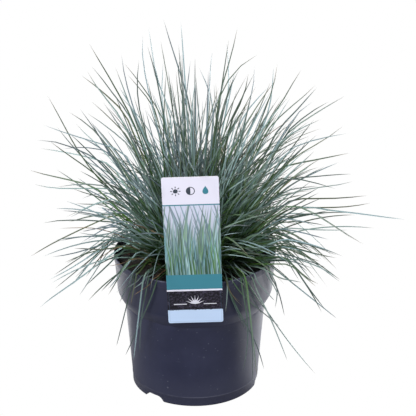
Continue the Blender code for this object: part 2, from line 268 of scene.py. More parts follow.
# Leaves that stand out in the photograph, by colour, each read from it in pixels from its tip to the heart
STRAYS = {
    "blue": (
        ((163.5, 19.5), (170, 42), (178, 66), (192, 112)),
        ((148.5, 27), (151.5, 45), (154, 65), (158, 82), (170, 110)),
        ((142.8, 35.5), (141.8, 50), (144, 68), (150, 97)),
        ((147.5, 46), (151.5, 60), (156, 74), (161, 100)),
        ((91.5, 66), (101, 77), (110, 90), (130, 115)),
        ((121.5, 54.5), (123, 68), (126, 83), (135, 113)),
        ((139, 60), (137, 75), (137, 90), (138, 105)),
        ((163, 62), (162.5, 80), (161, 100)),
        ((181, 54), (178, 64), (177.5, 75), (185, 105)),
        ((190.5, 60), (188.5, 75), (187, 90), (182, 118)),
        ((196, 75.5), (197, 95), (200, 125)),
        ((199, 67.5), (205, 80), (214, 105)),
        ((212.5, 49.5), (210, 70), (209.5, 90)),
        ((226.5, 43), (228, 55), (229, 70), (228, 100)),
        ((239, 70), (235, 76), (230, 87), (222, 115)),
        ((254.5, 66), (255, 78), (252.5, 90), (247, 113)),
        ((273.5, 67), (273, 83), (271, 100), (268, 115)),
        ((268.5, 87), (258, 98), (249, 108), (236, 130)),
        ((317, 87.5), (308, 97), (300, 107), (277, 130)),
        ((313.5, 101), (305, 106), (297, 113), (286, 130)),
        ((329, 101.5), (319, 106), (310, 113), (290, 127)),
        ((346.5, 133.5), (330, 136), (313, 140), (290, 147)),
        ((313, 162.5), (305, 170), (296, 175), (284, 182)),
        ((338.5, 162.5), (325, 168), (312, 174), (290, 185)),
        ((351.5, 174), (335, 174.5), (315, 176.5), (285, 178.5)),
        ((336, 189), (322, 184.5), (308, 181), (285, 176)),
        ((318, 186), (305, 187), (286, 190)),
        ((320, 187), (312, 191.5), (302, 197), (286, 203)),
        ((404.5, 219.5), (380, 216.5), (355, 213), (330, 210.5), (300, 205)),
        ((331, 210), (315, 213), (305, 215.5), (286, 218.5)),
        ((316.5, 226.5), (305, 221.5), (297, 219.5), (280, 218)),
        ((328.5, 239.5), (315, 236), (302, 232.5), (280, 228)),
        ((333, 252), (322, 247.5), (310, 243.5), (285, 238)),
        ((326, 267.5), (318, 264), (305, 260), (282, 253)),
        ((325.5, 310), (318, 300.5), (310, 290), (303, 281), (291, 260)),
        ((322, 313), (317, 303), (311, 292), (302, 279), (288, 257)),
        ((37, 140), (50, 140), (60, 142.5), (79, 149.5), (105, 163)),
        ((43.5, 125), (57, 130), (84, 138.5), (125, 150.5)),
        ((57, 127), (70, 143), (86, 161), (107, 181)),
        ((63, 149), (78, 146.5), (92, 148), (110, 151)),
        ((91, 121), (96, 131), (103, 143), (115, 162)),
        ((82, 198.5), (88, 195.5), (97, 193.5), (122, 193)),
        ((77, 177.5), (85, 183), (95, 190), (113, 199)),
        ((43, 223), (55, 220.5), (83, 220), (120, 222.5)),
        ((56, 208.5), (70, 208.5), (84, 210), (108, 214)),
        ((70, 217.5), (80, 212), (90, 206), (105, 200)),
        ((115, 217), (103, 210), (96, 204.5), (92, 200)),
        ((81.5, 231), (92, 230), (103, 227.5), (125, 219)),
        ((81, 242.5), (90, 237.5), (98, 232), (112, 224)),
        ((52, 257), (65, 255), (80, 251.5), (100, 245), (125, 233)),
        ((49.5, 279.5), (60, 274.5), (75, 266), (90, 256), (120, 238.5)),
        ((39.5, 307.5), (50, 298.5), (65, 288.5), (80, 278), (110, 255), (140, 236)),
        ((85.5, 286), (95, 277), (105, 268), (125, 248)),
        ((101, 291.5), (108, 284), (118, 274), (134, 254)),
        ((108, 289), (115, 281), (124, 269), (138, 250)),
        ((127, 191), (135, 189), (145, 188.5), (161, 192)),
    ),
    "green": (
        ((89, 43.5), (98, 59), (108, 75), (133, 120)),
        ((87, 71), (94, 83), (100, 91.5), (120, 115)),
        ((124, 63), (132, 72), (138, 80), (164, 117)),
        ((127, 74), (136, 84), (155, 107)),
        ((237.5, 27.5), (235, 37), (233, 49), (229, 62), (218, 98)),
        ((257.5, 54.5), (250, 58), (241, 65), (232, 74), (219, 95)),
        ((248.5, 73), (247, 83), (244, 97), (230, 122)),
        ((277.5, 63), (276, 76), (272, 92), (262, 118)),
        ((301.5, 69.5), (294, 80), (287, 94), (268, 122)),
        ((316, 84.5), (307, 94), (290, 107.5), (268, 128)),
        ((345, 96), (330, 104.5), (305, 120), (285, 134)),
        ((321.5, 119), (310, 124), (297, 130), (280, 140)),
        ((309, 137.5), (308, 142), (300, 151), (284, 164)),
        ((314.5, 151), (308, 157.5), (302, 162.5), (285, 178)),
        ((349.5, 153), (330, 157), (300, 163), (280, 166)),
        ((363, 244), (340, 230.5), (325, 219.5), (310, 210.5), (290, 203)),
        ((336.5, 258), (322, 255), (310, 252), (284, 244)),
        ((340.5, 280), (333, 275), (325, 269.5), (300, 259)),
        ((318.5, 284), (310, 280.5), (302, 274), (284, 256)),
        ((316.5, 287), (308, 279.5), (290, 264)),
        ((320.5, 261.5), (310, 258.5), (285, 247)),
        ((47.5, 95.5), (61, 119), (70, 137), (86, 163), (110, 192)),
        ((69, 112), (82, 120), (94, 129.5), (115, 155)),
        ((41, 148.5), (55, 150.5), (82, 155.5), (112, 164)),
        ((49, 140.5), (58, 147.5), (76, 160), (95, 173)),
        ((29, 170), (40, 173.5), (70, 180), (95, 186)),
        ((34, 184.3), (45, 187), (60, 188.5), (115, 188)),
        ((76, 124), (84, 132.5), (95, 142), (115, 163)),
        ((71, 188), (85, 193), (97, 196), (122, 204)),
        ((76, 203.5), (90, 204.3), (120, 203)),
        ((69, 222), (80, 219), (90, 216), (120, 213.5)),
        ((74, 212.5), (85, 214), (100, 217), (120, 220)),
        ((78, 232.5), (90, 234.5), (103, 235.5), (130, 227)),
        ((66, 217), (75, 214), (84, 208), (115, 196.5)),
        ((108, 295.5), (113, 287), (118, 279), (130, 257)),
    ),
    "olive": (
        ((81.5, 75.5), (92, 83), (100, 89.5), (125, 112)),
        ((87, 113), (98, 120), (110, 129), (130, 145)),
        ((91, 101), (100, 108.5), (110, 118), (130, 138)),
        ((343, 126), (335, 133), (325, 139.5), (290, 159.5)),
        ((352.5, 181.5), (345, 184), (330, 185.5), (290, 191.5)),
        ((367.5, 195.5), (350, 197.3), (335, 198.4), (290, 198.5)),
        ((370.5, 203), (355, 206), (340, 207.3), (288, 208)),
        ((348.5, 230), (330, 230), (310, 229.3), (280, 227)),
        ((30.5, 256.5), (40, 250.5), (55, 242), (85, 227.5), (120, 212)),
        ((57, 187), (67, 185.5), (80, 183.5), (105, 184.5)),
        ((74, 248.5), (87, 248.5), (100, 250), (125, 246)),
        ((302, 282.5), (290, 280), (280, 278.5), (262, 268)),
    ),
    "dry": (
        ((59, 228.5), (75, 227.7), (90, 227.7), (103, 229.5), (120, 235.5)),
        ((90.5, 266), (98, 259.5), (108, 252), (125, 244)),
        ((108, 266), (118, 264.8), (135, 258)),
    ),
}

# Leaves that fall over the rim in front, in the same way
HANGING = {
    "blue": (
        ((116.5, 346), (119, 335), (125.5, 310), (128.5, 295), (136, 272), (150, 258)),
        ((125.3, 355.5), (132, 341.5), (143, 315), (152, 296), (160, 278), (172, 264)),
        ((139.8, 354), (139.7, 340), (141, 315), (145, 295), (151, 275), (163, 262)),
        ((121, 291), (128, 287), (138, 282), (152, 271), (166, 260)),
        ((243, 372.5), (245.5, 360), (248, 347), (249, 330), (245, 300), (236, 268)),
        ((252.5, 383), (253.5, 365), (253, 345), (250, 310), (243, 280), (236, 266)),
        ((264, 369), (261.5, 358), (258, 345), (245, 322), (233, 301), (221, 276)),
        ((247.5, 332.5), (242, 322), (232, 300), (224, 277), (218, 268)),
        ((279, 326), (270, 318), (247, 299.5), (226, 280), (216, 270)),
        ((270, 275), (260, 267.5), (248, 259.5), (221, 249)),
        ((262, 314), (253, 298), (244, 283), (232, 268)),
        ((284.5, 316), (283, 306), (279, 290), (268, 272), (256, 262)),
        ((233, 284), (232, 275), (226, 262), (218, 252)),
    ),
    "green": (
        ((315.5, 374), (300, 356.5), (287, 340), (262, 303), (238, 275), (221, 258.5)),
        ((287.5, 361), (282, 347), (271.5, 320), (258, 293), (246, 272), (232, 258)),
        ((225.5, 312.5), (226.5, 303), (228, 283), (224, 268), (216, 262)),
        ((274.5, 300.5), (262, 287), (245, 270), (232, 258)),
        ((278.5, 296), (273, 283), (262, 270), (250, 260)),
        ((275, 308), (279, 294), (276, 280), (262, 264)),
        ((119.5, 302.5), (125, 290), (135, 272), (150, 258)),
        ((133, 289), (146, 280), (156, 272), (170, 260)),
    ),
    "olive": (
        ((131, 304), (132, 295), (136, 278), (146, 262), (158, 252)),
    ),
    "tan": (
        ((243, 307), (234, 299), (228, 287), (222, 272)),
        ((241, 302), (234, 299.5), (229, 290), (220, 270)),
    ),
    "dry": (
        ((134, 295), (140, 290.5), (152, 285), (158, 276), (168, 266)),
    ),
}

# Leaves that fall over the rim all round: the bearings in degrees from and to which, and how many
FALLS = (
    (-75, -28, 34),
    (-28, -18, 4),
    (18, 45, 5),
    (45, 80, 22),
    (80, 130, 8),
    (130, 230, 22),
    (230, 285, 12),
)

# How low the tips of those leaves come in the photograph, in pixels, from its left to its right
FALL_LIMITS = ((60, 298), (100, 300), (130, 306), (165, 300), (240, 300), (290, 290), (340, 282))

# Where the photograph shows through the leaves to the soil, the pot or the ground behind: the middle of
# each such place in pixels, its half width and half height, and the share of the leaves that still cross it
CLEARINGS = (
    (122.0, 257.0, 11.0, 16.0, 0.10),
    (141.0, 263.0, 14.0, 12.0, 0.42),
    (201.0, 116.0, 8.0, 18.0, 0.15),
    (262.0, 280.0, 13.0, 12.0, 0.25),
    (236.0, 290.0, 14.0, 9.0, 0.30),
)

# How blue a leaf of each colour is, and how dry
COLOURS = {
    "blue": (0.9, 0.0),
    "green": (0.15, 0.0),
    "olive": (0.1, 0.14),
    "tan": (0.1, 0.55),
    "dry": (0.3, 0.95),
}


def nothing_selected():
    """Object mode with nothing selected, for the next piece."""
    if bpy.context.object and bpy.context.object.mode != "OBJECT":
        bpy.ops.object.mode_set(mode="OBJECT")
    bpy.ops.object.select_all(action="DESELECT")


def select_only(piece):
    """Object mode with only this piece selected, and active."""
    nothing_selected()
    piece.select_set(True)
    bpy.context.view_layer.objects.active = piece


def name_piece(name):
    """Names the active object and its mesh."""
    piece = bpy.context.object
    piece.name = name
    piece.data.name = name
    return piece


def apply_placing(piece):
    """Puts the piece's place, turn and scale into its mesh."""
    select_only(piece)
    bpy.ops.object.transform_apply(location=True, rotation=True, scale=True)


def apply_modifier(piece, kind, **settings):
    """Adds a modifier to the piece and applies it."""
    select_only(piece)
    modifier = piece.modifiers.new(kind.lower(), kind)
    for key, value in settings.items():
        setattr(modifier, key, value)
    bpy.ops.object.modifier_apply(modifier=modifier.name)


def cut(piece, cutter, operation="DIFFERENCE"):
    """Cuts the cutter out of the piece, or joins it, and deletes the cutter."""
    apply_modifier(piece, "BOOLEAN", operation=operation, solver="EXACT", object=cutter)
    bpy.data.objects.remove(cutter, do_unlink=True)


def draw_round(name, outline, sides):
    """A closed round solid: a disc at the first (radius, height), extruded and resized ring by ring."""
    nothing_selected()
    radius, height = outline[0]
    place = (0, 0, height)
    bpy.ops.mesh.primitive_circle_add(vertices=sides, radius=radius, fill_type="NGON", location=place)
    piece = name_piece(name)
    bpy.ops.object.mode_set(mode="EDIT")
    bpy.ops.mesh.select_all(action="SELECT")
    for next_radius, next_height in outline[1:]:
        bpy.ops.mesh.extrude_region_move(TRANSFORM_OT_translate={"value": (0, 0, next_height - height)})
        share = next_radius / radius
        bpy.ops.transform.resize(value=(share, share, 1.0))
        radius, height = next_radius, next_height
    bpy.ops.mesh.select_all(action="SELECT")
    bpy.ops.mesh.normals_make_consistent(inside=False)
    bpy.ops.object.mode_set(mode="OBJECT")
    apply_placing(piece)
    return piece


def pick_faces(piece, wanted):
    """Edit mode with only the wanted faces of the active piece selected."""
    bpy.ops.object.mode_set(mode="EDIT")
    bpy.ops.mesh.select_mode(type="FACE")
    bpy.ops.mesh.select_all(action="DESELECT")
    bpy.ops.object.mode_set(mode="OBJECT")
    for polygon in piece.data.polygons:
        polygon.select = wanted(polygon)
    bpy.ops.object.mode_set(mode="EDIT")


def pick_edges(piece, wanted):
    """Edit mode with only the wanted edges of the active piece selected, by the places of their ends."""
    bpy.ops.object.mode_set(mode="EDIT")
    bpy.ops.mesh.select_mode(type="EDGE")
    bpy.ops.mesh.select_all(action="DESELECT")
    bpy.ops.object.mode_set(mode="OBJECT")
    for edge in piece.data.edges:
        first, second = (piece.data.vertices[k].co for k in edge.vertices)
        edge.select = wanted(first, second)
    bpy.ops.object.mode_set(mode="EDIT")


def smooth_by_angle(piece, degrees):
    """Shades the piece smooth but for its sharp edges."""
    select_only(piece)
    bpy.ops.object.shade_smooth_by_angle(angle=math.radians(degrees))


def wear(piece, *materials):
    """Gives the piece its materials."""
    piece.data.materials.clear()
    for material in materials:
        piece.data.materials.append(material)


# Node helpers


def new_material(name):
    """An empty node material with a Principled shader, its node tree and the shader."""
    material = bpy.data.materials.new(name)
    material.use_nodes = True
    return material, material.node_tree, material.node_tree.nodes["Principled BSDF"]


def feed(tree, node, inputs):
    """Gives inputs of a node what they get: an output socket is linked, and a value is set."""
    for key, value in inputs.items():
        if isinstance(value, bpy.types.NodeSocket):
            tree.links.new(value, node.inputs[key])
        else:
            node.inputs[key].default_value = value


def add_node(tree, kind, inputs=None, **settings):
    """A node with its settings, and with what its inputs get."""
    made = tree.nodes.new(kind)
    for key, value in settings.items():
        setattr(made, key, value)
    feed(tree, made, inputs or {})
    return made


def maths(tree, operation, *values, clamp=False):
    """The output of a Math node on values or sockets."""
    made = add_node(tree, "ShaderNodeMath", dict(enumerate(values)), operation=operation)
    made.use_clamp = clamp
    return made.outputs[0]


def times(tree, first, *others):
    """The product of values or sockets."""
    for other in others:
        first = maths(tree, "MULTIPLY", first, other)
    return first


def plus(tree, first, *others):
    """The sum of values or sockets."""
    for other in others:
        first = maths(tree, "ADD", first, other)
    return first


def minus(tree, first, second):
    """The difference of two values or sockets."""
    return maths(tree, "SUBTRACT", first, second)


def squares(tree, x, y):
    """The sum of the squares of two sockets."""
    return plus(tree, times(tree, x, x), times(tree, y, y))


def between(tree, value, low, high):
    """1 where a value lies between two limits, and 0 elsewhere."""
    return times(tree, maths(tree, "GREATER_THAN", value, low), maths(tree, "LESS_THAN", value, high))


def mix(tree, share, first, second, blend="MIX"):
    """The colour that a Mix node gives."""
    made = add_node(tree, "ShaderNodeMix", data_type="RGBA", blend_type=blend)
    for socket, value in ((made.inputs[0], share), (made.inputs[6], first), (made.inputs[7], second)):
        if isinstance(value, bpy.types.NodeSocket):
            tree.links.new(value, socket)
        else:
            socket.default_value = value if isinstance(value, float) else (*value, 1.0)
    return made.outputs[2]


def fade(tree, value, low, high, to_low=0.0, to_high=1.0):
    """A value moved smoothly from one range to another."""
    made = add_node(
        tree,
        "ShaderNodeMapRange",
        {"Value": value, "From Min": low, "From Max": high, "To Min": to_low, "To Max": to_high},
        interpolation_type="SMOOTHSTEP",
    )
    return made.outputs[0]


def ramp(tree, value, stops, interpolation="LINEAR"):
    """The colour at a value on a ramp of (place, colour) stops."""
    made = add_node(tree, "ShaderNodeValToRGB", {"Fac": value})
    made.color_ramp.interpolation = interpolation
    elements = made.color_ramp.elements
    elements[1].position = stops[-1][0]
    elements[0].position = stops[0][0]
    for place, _ in stops[1:-1]:
        elements.new(place)
    for element, (_, colour) in zip(elements, stops):
        element.color = (*colour, 1.0)
    return made.outputs[0]


def fine_noise(tree, vector, scale, detail=4.0, roughness=0.6):
    """The grey output of a noise texture."""
    made = add_node(
        tree,
        "ShaderNodeTexNoise",
        {"Vector": vector, "Scale": scale, "Detail": detail, "Roughness": roughness},
    )
    return made.outputs[0]


def new_group(name, inputs, outputs):
    """A shader node group with named sockets: each is (name, kind, value)."""
    group = bpy.data.node_groups.new(name, "ShaderNodeTree")
    for way, sockets in (("INPUT", inputs), ("OUTPUT", outputs)):
        for label, kind, *value in sockets:
            socket = group.interface.new_socket(name=label, in_out=way, socket_type=f"NodeSocket{kind}")
            if value:
                socket.default_value = value[0]
    return group, group.nodes.new("NodeGroupInput").outputs, group.nodes.new("NodeGroupOutput").inputs


def place_group(tree, group, inputs):
    """The outputs of a group that is placed in a material's tree."""
    return add_node(tree, "ShaderNodeGroup", inputs, node_tree=group).outputs


def mottle_group():
    """Soft uneven tone and fine grain, for every surface."""
    group, given, out = new_group(
        "mottle",
        [("Vector", "Vector"), ("Patch Scale", "Float", 20.0), ("Grain Scale", "Float", 900.0)],
        [("Patches", "Float"), ("Grain", "Float")],
    )
    group.links.new(fine_noise(group, given["Vector"], given["Patch Scale"], 3.0), out["Patches"])
    group.links.new(fine_noise(group, given["Vector"], given["Grain Scale"], 2.0), out["Grain"])
    return group


def speck_group():
    """Scattered small specks: a mask of dots of uneven size, each kept or left out at random."""
    group, given, out = new_group(
        "specks",
        [("Vector", "Vector"), ("Scale", "Float", 200.0), ("Size", "Float", 0.2), ("Share", "Float", 0.1)],
        [("Mask", "Float")],
    )
    cells = add_node(group, "ShaderNodeTexVoronoi", {"Vector": given["Vector"], "Scale": given["Scale"]})
    chances = add_node(group, "ShaderNodeSeparateColor", {"Color": cells.outputs["Color"]}).outputs
    kept = maths(group, "LESS_THAN", chances[0], given["Share"])
    size = times(group, given["Size"], plus(group, chances[1], 0.4))
    dot = maths(group, "LESS_THAN", cells.outputs["Distance"], size)
    group.links.new(times(group, kept, dot), out["Mask"])
    return group


MOTTLE = mottle_group()
SPECKS = speck_group()


def object_place(tree):
    """Object coordinates in metres."""
    return add_node(tree, "ShaderNodeTexCoord").outputs["Object"]


def mottle(tree, place, patch_scale, grain_scale):
    """The patches and the grain of a surface."""
    inputs = {"Vector": place, "Patch Scale": patch_scale, "Grain Scale": grain_scale}
    return place_group(tree, MOTTLE, inputs)


def specks(tree, place, scale, size, share):
    """A mask of scattered specks."""
    inputs = {"Vector": place, "Scale": scale, "Size": size, "Share": share}
    return place_group(tree, SPECKS, inputs)["Mask"]


def from_mesh(tree, name):
    """The value that the mesh carries under a name."""
    return add_node(tree, "ShaderNodeAttribute", attribute_name=name).outputs["Fac"]


def uneven(tree, grain, strength, depth):
    """The normal of a surface that grain makes uneven to a depth."""
    inputs = {"Height": grain, "Strength": strength, "Distance": depth}
    return add_node(tree, "ShaderNodeBump", inputs).outputs[0]


# The pot's colours: its plastic, splashes and scratches, a paler tone that also serves as painted light on
# the collar, the painted shade in the cove, the rubbed lip and the ring line, and how high the splashes and
# the paler tone reach
POT_DARK = (0.0085, 0.0105, 0.0300)
POT_PALE = (0.0125, 0.0148, 0.0375)
POT_MARKS = (0.16, 0.17, 0.21)
POT_PALER_AND_PAINTED_LIGHT = (0.024, 0.026, 0.048)
POT_PAINTED_SHADE = (0.020, 0.023, 0.052)
POT_RUBBED = (0.13, 0.14, 0.18)
POT_LINE = (0.11, 0.115, 0.15)
SPLASH_TOP = 0.060
PALER_TOP = 0.045


def pot_finish():
    """Anthracite polypropylene: fine moulded grain, faint scratches, specks of dust and of dried splashes,
    and wear on the raised edges; paler towards the foot, with painted light on the collar and painted shade
    in the cove."""
    material, tree, shader = new_material("pot_plastic")
    place = object_place(tree)
    height = add_node(tree, "ShaderNodeSeparateXYZ", {"Vector": place}).outputs[2]
    cover = mottle(tree, place, 28.0, 1400.0)
    base = mix(tree, fade(tree, cover["Patches"], 0.35, 0.7), POT_DARK, POT_PALE)
    # Long thin scratches run level round the wall, broken up by noise
    stretch = {"Vector": place, "Rotation": (0.3, 0.5, 0.9), "Scale": (30.0, 30.0, 700.0)}
    stretched = add_node(tree, "ShaderNodeMapping", stretch).outputs[0]
    streaks = fade(tree, fine_noise(tree, stretched, 1.0, 2.0), 0.66, 0.74)
    breaks = fade(tree, fine_noise(tree, place, 60.0, 2.0), 0.56, 0.66)
    scratches = times(tree, streaks, breaks, 0.30)
    # Splashes dry on the wall, most of them low down, and finer dust lies all over it
    low_down = plus(tree, times(tree, fade(tree, height, SPLASH_TOP, 0.004), 0.75), 0.12)
    splashes = times(tree, specks(tree, place, 210.0, 0.17, 0.055), low_down)
    dust = times(tree, specks(tree, place, 420.0, 0.19, 0.085), 0.28)
    marks = maths(tree, "MAXIMUM", maths(tree, "MAXIMUM", splashes, dust), scratches)
    colour = mix(tree, marks, base, POT_MARKS)
    # The wall is paler towards the foot
    colour = mix(tree, fade(tree, height, PALER_TOP, 0.006, 0.0, 0.8), colour, POT_PALER_AND_PAINTED_LIGHT)
    # The collar is lightened as painted light, above the painted shade of the cove
    collar_painted_light = fade(tree, height, COLLAR_BOTTOM, COLLAR_BOTTOM + 0.006, 0.0, 0.16)
    colour = mix(tree, collar_painted_light, colour, POT_PALER_AND_PAINTED_LIGHT)
    # The cove between the neck and the collar is darkened as painted shade, and made rougher
    above_neck = fade(tree, height, NECK_HEIGHT - 0.006, NECK_HEIGHT + 0.001)
    cove = times(tree, above_neck, fade(tree, height, COLLAR_BOTTOM + 0.001, COLLAR_BOTTOM - 0.003))
    colour = mix(tree, times(tree, cove, 0.30), colour, POT_PAINTED_SHADE)
    # The lip and the ring line are rubbed paler
    rubbed = fade(tree, height, POT_HEIGHT - 0.0016, POT_HEIGHT - 0.0002)
    rubbed = times(tree, rubbed, fade(tree, fine_noise(tree, place, 220.0, 3.0), 0.38, 0.62), 0.45)
    colour = mix(tree, rubbed, colour, POT_RUBBED)
    ring_line = maths(tree, "COMPARE", height, RING_LINE_HEIGHT + 0.0004, 0.0006)
    ring_line = times(tree, ring_line, fade(tree, fine_noise(tree, place, 45.0, 3.0), 0.35, 0.65), 0.35)
    colour = mix(tree, ring_line, colour, POT_LINE)
    rough = fade(tree, cover["Patches"], 0.3, 0.7, 0.31, 0.38)
    rough = plus(tree, rough, times(tree, cove, 0.15), times(tree, marks, 0.2))
    normal = uneven(tree, cover["Grain"], 0.10, 0.0002)
    feed(tree, shader, {"Base Color": colour, "Roughness": rough, "Normal": normal})
    shader.inputs["Specular IOR Level"].default_value = 0.32
    return material


# The soil's colours, with the peat's by how pale its patches are
PEAT = (
    (0.30, (0.0020, 0.0016, 0.0014)),
    (0.55, (0.006, 0.004, 0.003)),
    (0.75, (0.016, 0.010, 0.007)),
)
CRUMB_BROWN = (0.040, 0.018, 0.010)
FIBRE_BROWN = (0.070, 0.036, 0.020)


def soil_finish():
    """Peat: near black, with brown fibres and paler crumbs."""
    material, tree, shader = new_material("soil")
    place = object_place(tree)
    cover = mottle(tree, place, 90.0, 1100.0)
    colour = ramp(tree, cover["Patches"], PEAT)
    colour = mix(tree, fade(tree, from_mesh(tree, "crumb"), 0.70, 1.0), colour, CRUMB_BROWN)
    fibres = times(tree, specks(tree, place, 420.0, 0.3, 0.07), 0.4)
    colour = mix(tree, fibres, colour, FIBRE_BROWN)
    rough = fade(tree, cover["Grain"], 0.3, 0.7, 0.80, 0.98)
    normal = uneven(tree, cover["Grain"], 0.7, 0.0008)
    feed(tree, shader, {"Base Color": colour, "Roughness": rough, "Normal": normal})
    return material


# A green and a blue leaf's colours from foot to tip, whose dark lower part is partly painted shade, a dry
# one's by its patches, and those laid over them, the last of them a painted shade
GREEN_LEAF = (
    (0.0, (0.060, 0.070, 0.022)),
    (0.08, (0.018, 0.052, 0.006)),
    (0.25, (0.052, 0.138, 0.008)),
    (0.42, (0.072, 0.166, 0.020)),
    (0.72, (0.088, 0.140, 0.074)),
    (1.0, (0.098, 0.112, 0.088)),
)
BLUE_LEAF = (
    (0.0, (0.055, 0.068, 0.022)),
    (0.08, (0.018, 0.052, 0.010)),
    (0.25, (0.050, 0.132, 0.018)),
    (0.45, (0.100, 0.184, 0.138)),
    (0.75, (0.130, 0.180, 0.220)),
    (1.0, (0.102, 0.114, 0.144)),
)
STRAW = (
    (0.30, (0.060, 0.030, 0.016)),
    (0.50, (0.175, 0.100, 0.050)),
    (0.72, (0.380, 0.270, 0.155)),
)
LEAF_BLOOM = (0.23, 0.31, 0.33)
LEAF_PALE = (0.29, 0.41, 0.42)
LEAF_DARK = (0.013, 0.036, 0.006)
LEAF_PAINTED_SHADE = (0.012, 0.020, 0.009)


def leaf_finish():
    """A fescue leaf: green where it leaves the soil, darker a little above that partly as painted shade,
    glaucous along the blade with a waxy bloom, duller at the tip, with painted shade on leaves low in the
    clump. The mesh says how far along the leaf a point is, how blue the leaf is, and how dry."""
    material, tree, shader = new_material("leaf")
    along = from_mesh(tree, "along")
    tone = from_mesh(tree, "tone")
    place = object_place(tree)
    cover = mottle(tree, place, 120.0, 1600.0)
    colour = mix(tree, tone, ramp(tree, along, GREEN_LEAF), ramp(tree, along, BLUE_LEAF))
    above = fade(tree, along, 0.15, 0.45)
    bloom = times(tree, fade(tree, cover["Patches"], 0.45, 0.72), times(tree, tone, 0.45), above)
    colour = mix(tree, bloom, colour, LEAF_BLOOM)
    # Some leaves are paler than the rest above their foot, and some darker all along
    chance = maths(tree, "SINE", times(tree, tone, 97.0))
    paler = times(tree, fade(tree, chance, 0.1, 1.0, 0.0, 0.62), above)
    colour = mix(tree, paler, colour, LEAF_PALE)
    colour = mix(tree, fade(tree, chance, -0.1, -1.0, 0.0, 0.70), colour, LEAF_DARK)
    straw = ramp(tree, fine_noise(tree, place, 70.0, 3.0), STRAW)
    tips = times(tree, fade(tree, along, 0.90, 1.0), fade(tree, tone, 0.55, 0.0, 0.0, 0.6))
    colour = mix(tree, maths(tree, "MAXIMUM", from_mesh(tree, "dry"), tips), colour, straw)
    # Leaves low in the clump are darkened as painted shade, most of all within the rim
    right, back, up = add_node(tree, "ShaderNodeSeparateXYZ", {"Vector": place}).outputs
    within = fade(tree, squares(tree, right, back), 0.0100, 0.0060, 0.40, 1.0)
    low_painted_shade = times(tree, fade(tree, up, 0.205, 0.142, 0.0, 0.50), within)
    colour = mix(tree, low_painted_shade, colour, LEAF_PAINTED_SHADE)
    rough = fade(tree, cover["Patches"], 0.3, 0.7, 0.36, 0.50)
    normal = uneven(tree, cover["Grain"], 0.25, 0.0001)
    feed(tree, shader, {"Base Color": colour, "Roughness": rough, "Normal": normal})
    shader.inputs["Specular IOR Level"].default_value = 0.30
    return material


# The label's bare sheet, in its darker and its paler patches
SHEET_GREY = (0.80, 0.80, 0.84)
SHEET_WHITE = (0.88, 0.88, 0.91)


def card_finish():
    """The bare plastic sheet of the label: its back, edges and tongue."""
    material, tree, shader = new_material("label_sheet")
    cover = mottle(tree, object_place(tree), 40.0, 1500.0)
    colour = mix(tree, cover["Patches"], SHEET_GREY, SHEET_WHITE)
    rough = fade(tree, cover["Grain"], 0.3, 0.7, 0.30, 0.40)
    feed(tree, shader, {"Base Color": colour, "Roughness": rough})
    return material


def printed_leaves_group():
    """One layer of printed grass: pointed blades side by side that bend as they rise, of uneven height."""
    group, given, out = new_group(
        "printed_leaves",
        [
            ("Across", "Float"),
            ("Up", "Float"),
            ("Count", "Float", 20.0),
            ("Lean", "Float", 0.0),
            ("Bend", "Float", 0.0),
            ("Height", "Float", 1.0),
            ("Width", "Float", 0.5),
            ("Seed", "Float", 0.0),
        ],
        [("Mask", "Float"), ("Tone", "Float")],
    )
    up = given["Up"]
    shift = times(group, up, given["Lean"])
    curl = times(group, up, up, given["Bend"])
    foot = plus(group, given["Across"], plus(group, shift, curl))
    cell = plus(group, times(group, foot, given["Count"]), given["Seed"])
    number = maths(group, "FLOOR", cell)
    chance = add_node(group, "ShaderNodeTexWhiteNoise", {"W": number}, noise_dimensions="1D")
    chances = add_node(group, "ShaderNodeSeparateColor", {"Color": chance.outputs["Color"]}).outputs
    aside = times(group, minus(group, chances[1], 0.5), 0.8)
    middle = minus(group, maths(group, "FRACT", cell), plus(group, aside, 0.5))
    tall = times(group, given["Height"], plus(group, times(group, chances[0], 0.6), 0.4))
    taper = maths(group, "SUBTRACT", 1.0, maths(group, "DIVIDE", up, tall), clamp=True)
    half = times(group, maths(group, "POWER", taper, 0.7), times(group, given["Width"], 0.5))
    inside = minus(group, half, maths(group, "ABSOLUTE", middle))
    group.links.new(fade(group, inside, -0.02, 0.06), out["Mask"])
    # Each blade is lit from its right, and has its own tone
    across_blade = maths(group, "DIVIDE", middle, maths(group, "MAXIMUM", half, 0.01))
    tone = plus(group, times(group, chances[2], 0.60), fade(group, across_blade, -1.0, 1.0, 0.0, 0.40))
    group.links.new(maths(group, "POWER", tone, 1.5), out["Tone"])
    return group


# Where each band of the printed face ends, from the bottom, as shares of its height, and the bands' colours
BAND_TOPS = {"foot": 0.090, "dark": 0.226, "line": 0.236, "teal": 0.341, "picture": 0.812, "rule": 0.818}
PAPER = (0.585, 0.575, 0.662)
SKY_BLUE = (0.385, 0.492, 0.655)
TEAL = (0.035, 0.165, 0.212)
CHARCOAL = (0.004, 0.0035, 0.006)

# The printed grass: its layers from the back to the front, and their colours in turn as (dark, light)
PRINTED_LAYERS = 15
PRINTED_TINTS = (
    ((0.003, 0.024, 0.028), (0.17, 0.36, 0.40)),
    ((0.004, 0.022, 0.006), (0.14, 0.31, 0.11)),
    ((0.006, 0.040, 0.034), (0.36, 0.54, 0.55)),
)
HAZE = (0.30, 0.36, 0.42)
PICTURE_LOW = (0.07, 0.15, 0.14)
PICTURE_SKY = (0.47, 0.49, 0.60)
PRINTED_SOIL = (0.038, 0.034, 0.056)
PRINTED_MARK = (0.035, 0.045, 0.060)
PRINTED_WHITE = (0.52, 0.52, 0.58)

# The planting signs as (sign, place across in millimetres, ink), the rules beside the tuft in millimetres,
# and the frame line in metres
SIGNS = (
    ("Sun", -14.5, PRINTED_MARK),
    ("Shade", 0.0, PRINTED_MARK),
    ("Drop", 14.5, TEAL),
)
SIGN_SCALE = 1.45
RULE_PLACE = 15.0
RULE_HALF_LENGTH = 6.5
RULE_HALF_WIDTH = 0.45
FRAME_LINE_INSET = 0.0016
FRAME_LINE_HALF = 0.00016
FRAME_LINE_INK = (0.05, 0.12, 0.2)


